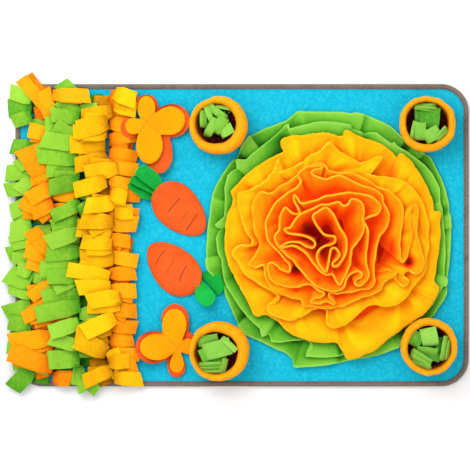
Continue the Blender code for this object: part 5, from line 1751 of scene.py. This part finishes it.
GREEN_INNER_STRIPS = (
    (268, 54, 132, 26), (250, 34, 7, 26), (232, 55, 167, 28), (207, 67, 172, 28), (194, 42, 354, 24),
    (180, 66, 163, 30), (153, 83, 168, 34), (142, 43, 4, 24), (131, 58, 178, 26), (110, 57, 190, 30),
    (81, 32, 10, 24), (62, 54, 206, 24), (44, 28, 28, 24), (26, 54, 182, 24), (7, 58, 196, 28),
    (-12, 56, 176, 26), (-33, 58, 175, 26), (-46, 43, 2, 24), (-59, 74, 182, 28), (-82, 63, 184, 26),
    (-99, 34, 352, 26), (-117, 70, 183, 28), (-138, 80, 186, 30), (-156, 34, 2, 24), (-174, 54, 200, 26),
    (-187, 42, 352, 24), (-200, 56, 186, 28), (-222, 54, 170, 26), (-232, 43, 6, 24), (-243, 62, 176, 34),
    (-261, 46, 282, 20), (-279, 42, 318, 20))
YELLOW_STRIPS = (
    (244, 55, 184, 26), (225, 57, 193, 34), (198, 55, 176, 26), (173, 58, 180, 34), (153, 55, 186, 26),
    (134, 55, 186, 28), (108, 55, 193, 28), (62, 53, 194, 26), (26, 55, 188, 26), (6, 55, 179, 30),
    (-20, 55, 174, 26), (-45, 53, 180, 32), (-81, 68, 178, 28), (-101, 55, 184, 26), (-121, 55, 193, 28),
    (-143, 55, 176, 26), (-165, 56, 197, 28), (-188, 55, 184, 26), (-210, 55, 178, 28), (-233, 58, 164, 32),
    (-265, 55, 194, 26))
YELLOW_LAST = (
    (279, 32, 340, 28), (260, 37, 347, 26), (84, 21, 346, 26), (42, 26, 0, 28), (-250, 32, 7, 28),
    (-280, 48, 356, 26))
ORANGE_INNER_STRIPS = (
    (276, 41, 0, 26), (249, 47, 5, 28), (219, 43, 2, 26), (191, 44, 0, 26), (164, 44, 358, 25),
    (137, 50, 357, 25), (108, 33, 352, 24), (76, 49, 358, 26), (48, 55, 355, 26), (20, 47, 355, 26),
    (-8, 35, 340, 24), (-42, 44, 351, 26), (-79, 47, 355, 26), (-110, 49, 354, 26), (-146, 47, 357, 26),
    (-179, 46, 3, 26), (-206, 37, 0, 25), (-234, 49, 2, 25), (-264, 43, 3, 26))
YELLOW_STRAYS = (
    (-290, 2), (-262, -6), (-240, -16), (-205, -14), (-160, 2), (-127, 16), (-95, -14), (-50, -2), (5, -8),
    (60, 4), (105, -18), (127, 10), (160, -22), (225, -14), (258, 0), (285, 0))
STRIP_BED = StripBed((
    FringeRow("cloth_strips_green_outer", "strips_green_outer", -417.0, GREEN, 9.0, GREEN_OUTER_STRIPS,
              under_sides=(0.0,), under_spacing=24.0, under_reach=34.0, doubled=False),
    FringeRow("cloth_strips_orange_outer", "strips_orange_outer", -374.0, ORANGE, 9.0, ORANGE_OUTER_STRIPS,
              ORANGE_OUTER_LAST),
    FringeRow("cloth_strips_green_inner", "strips_green_inner", -322.0, GREEN, 9.0, GREEN_INNER_STRIPS),
    FringeRow("cloth_strips_orange_inner", "strips_orange_inner", -262.0, ORANGE, 6.0, ORANGE_INNER_STRIPS,
              under_sides=(0.0,), under_spacing=24.0, reach_more=7.0),
    FringeRow("cloth_strips_yellow", "strips_yellow", -252.0, YELLOW, 8.0, YELLOW_STRIPS, YELLOW_LAST,
              under_sides=(180.0,), under_spacing=20.0, reach_more=9.0, strays=YELLOW_STRAYS)))
BUTTERFLIES = tuple(
    SoftCopy(f"butterfly_{place}_{layer}", f"cloth_butterfly_{place}_{layer}", finish, width, seed,
             shade_low, 20.0, pressed=True)
    for place, layer, finish, width, seed, shade_low in (
        ("top", "backing", CORAL, 150, 31.0, 0.45), ("top", "wings", WING, 130, 32.0, 0.3),
        ("bottom", "backing", CORAL, 150, 33.0, 0.45), ("bottom", "wings", WING, 130, 34.0, 0.3)))
CARROTS = tuple(SoftCopy(f"carrot_{place}_body", f"cloth_carrot_{place}", CORAL, 86, seed, 0.5, 15.0)
                for place, seed in (("top", 35.0), ("bottom", 36.0)))


def build_figures(field: HeightField) -> None:
    """Builds the butterflies, then the carrots' leaves and bodies, and draws the lines on them.

    Args:
        field: what lies there.
    """
    for copy in BUTTERFLIES:
        piece = copy.build()
        field.cover_piece(piece)
        for line in DRAWN_LINES.get(copy.node, ()):
            line.build(piece)
    for blades in (TOP_BLADES, BOTTOM_BLADES):
        for blade, above in zip(blades, (*blades[1:], None)):
            blade.build(field, above)
    for copy in CARROTS:
        piece = copy.build()
        for line in DRAWN_LINES.get(copy.node, ()):
            line.build(piece)


@dataclass
class Studio:
    """Pale floor, soft light and a camera straight above the mat."""

    # the photograph shows hardly any perspective, so the camera is far and its lens long
    eye: tuple[float, float, float] = (-13.9, 0.4, 6615.0)
    lens: float = 255.0
    sensor: float = 36.0
    floor: str = "#F4F4F4"
    # in metres, a little under the mat
    floor_half: float = 4.0
    floor_level: float = -0.0003
    sky: float = 0.95
    # the lamp: its place and side in metres, its power in watts
    key_place: tuple[float, float, float] = (-0.9, 1.1, 1.7)
    key_size: float = 1.4
    key_power: float = 27.0

    def camera(self) -> None:
        """Sets the camera at the photograph's angle."""
        data = bpy.data.cameras.new("camera")
        data.lens, data.sensor_width = self.lens, self.sensor
        made = bpy.data.objects.new("camera", data)
        made.location = Vector(self.eye) * MM
        bpy.context.scene.collection.objects.link(made)
        bpy.context.scene.camera = made

    def lamp(self) -> None:
        """Adds a soft square lamp that faces the mat."""
        data = bpy.data.lights.new("key", "AREA")
        data.shape, data.size, data.energy = "SQUARE", self.key_size, self.key_power
        made = bpy.data.objects.new("key", data)
        made.location = self.key_place
        made.rotation_euler = (-Vector(self.key_place)).to_track_quat("-Z", "Y").to_euler()
        bpy.context.scene.collection.objects.link(made)

    def build(self) -> None:
        """Builds the studio."""
        self.camera()
        corners = [(x * self.floor_half, y * self.floor_half, self.floor_level)
                   for x, y in ((-1, -1), (1, -1), (1, 1), (-1, 1))]
        floor = new_object("floor", np.array(corners), [(0, 1, 2, 3)])
        floor.data.materials.append(blank_material(
            "paper_backdrop", {"Base Color": linear(self.floor), "Roughness": 0.9})[0])
        world = bpy.data.worlds.new("studio")
        world.use_nodes = True
        world.node_tree.nodes["Background"].inputs[0].default_value = (1.0, 1.0, 1.0, 1.0)
        world.node_tree.nodes["Background"].inputs[1].default_value = self.sky
        bpy.context.scene.world = world
        self.lamp()
        scene = bpy.context.scene
        scene.view_settings.view_transform = "Standard"
        scene.view_settings.look = "None"


def main() -> None:
    """Builds the mat in order."""
    logging.basicConfig(level=logging.INFO, format="%(message)s")
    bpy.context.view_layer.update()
    Studio().build()
    shape = MatShape()
    BasePanel(shape).build()
    Binding(shape).build()
    field = HeightField()
    STRIP_BED.build(field)
    for cup in CUPS:
        cup.build()
    build_figures(field)
    Flower().build()


if __name__ == "__main__":
    main()
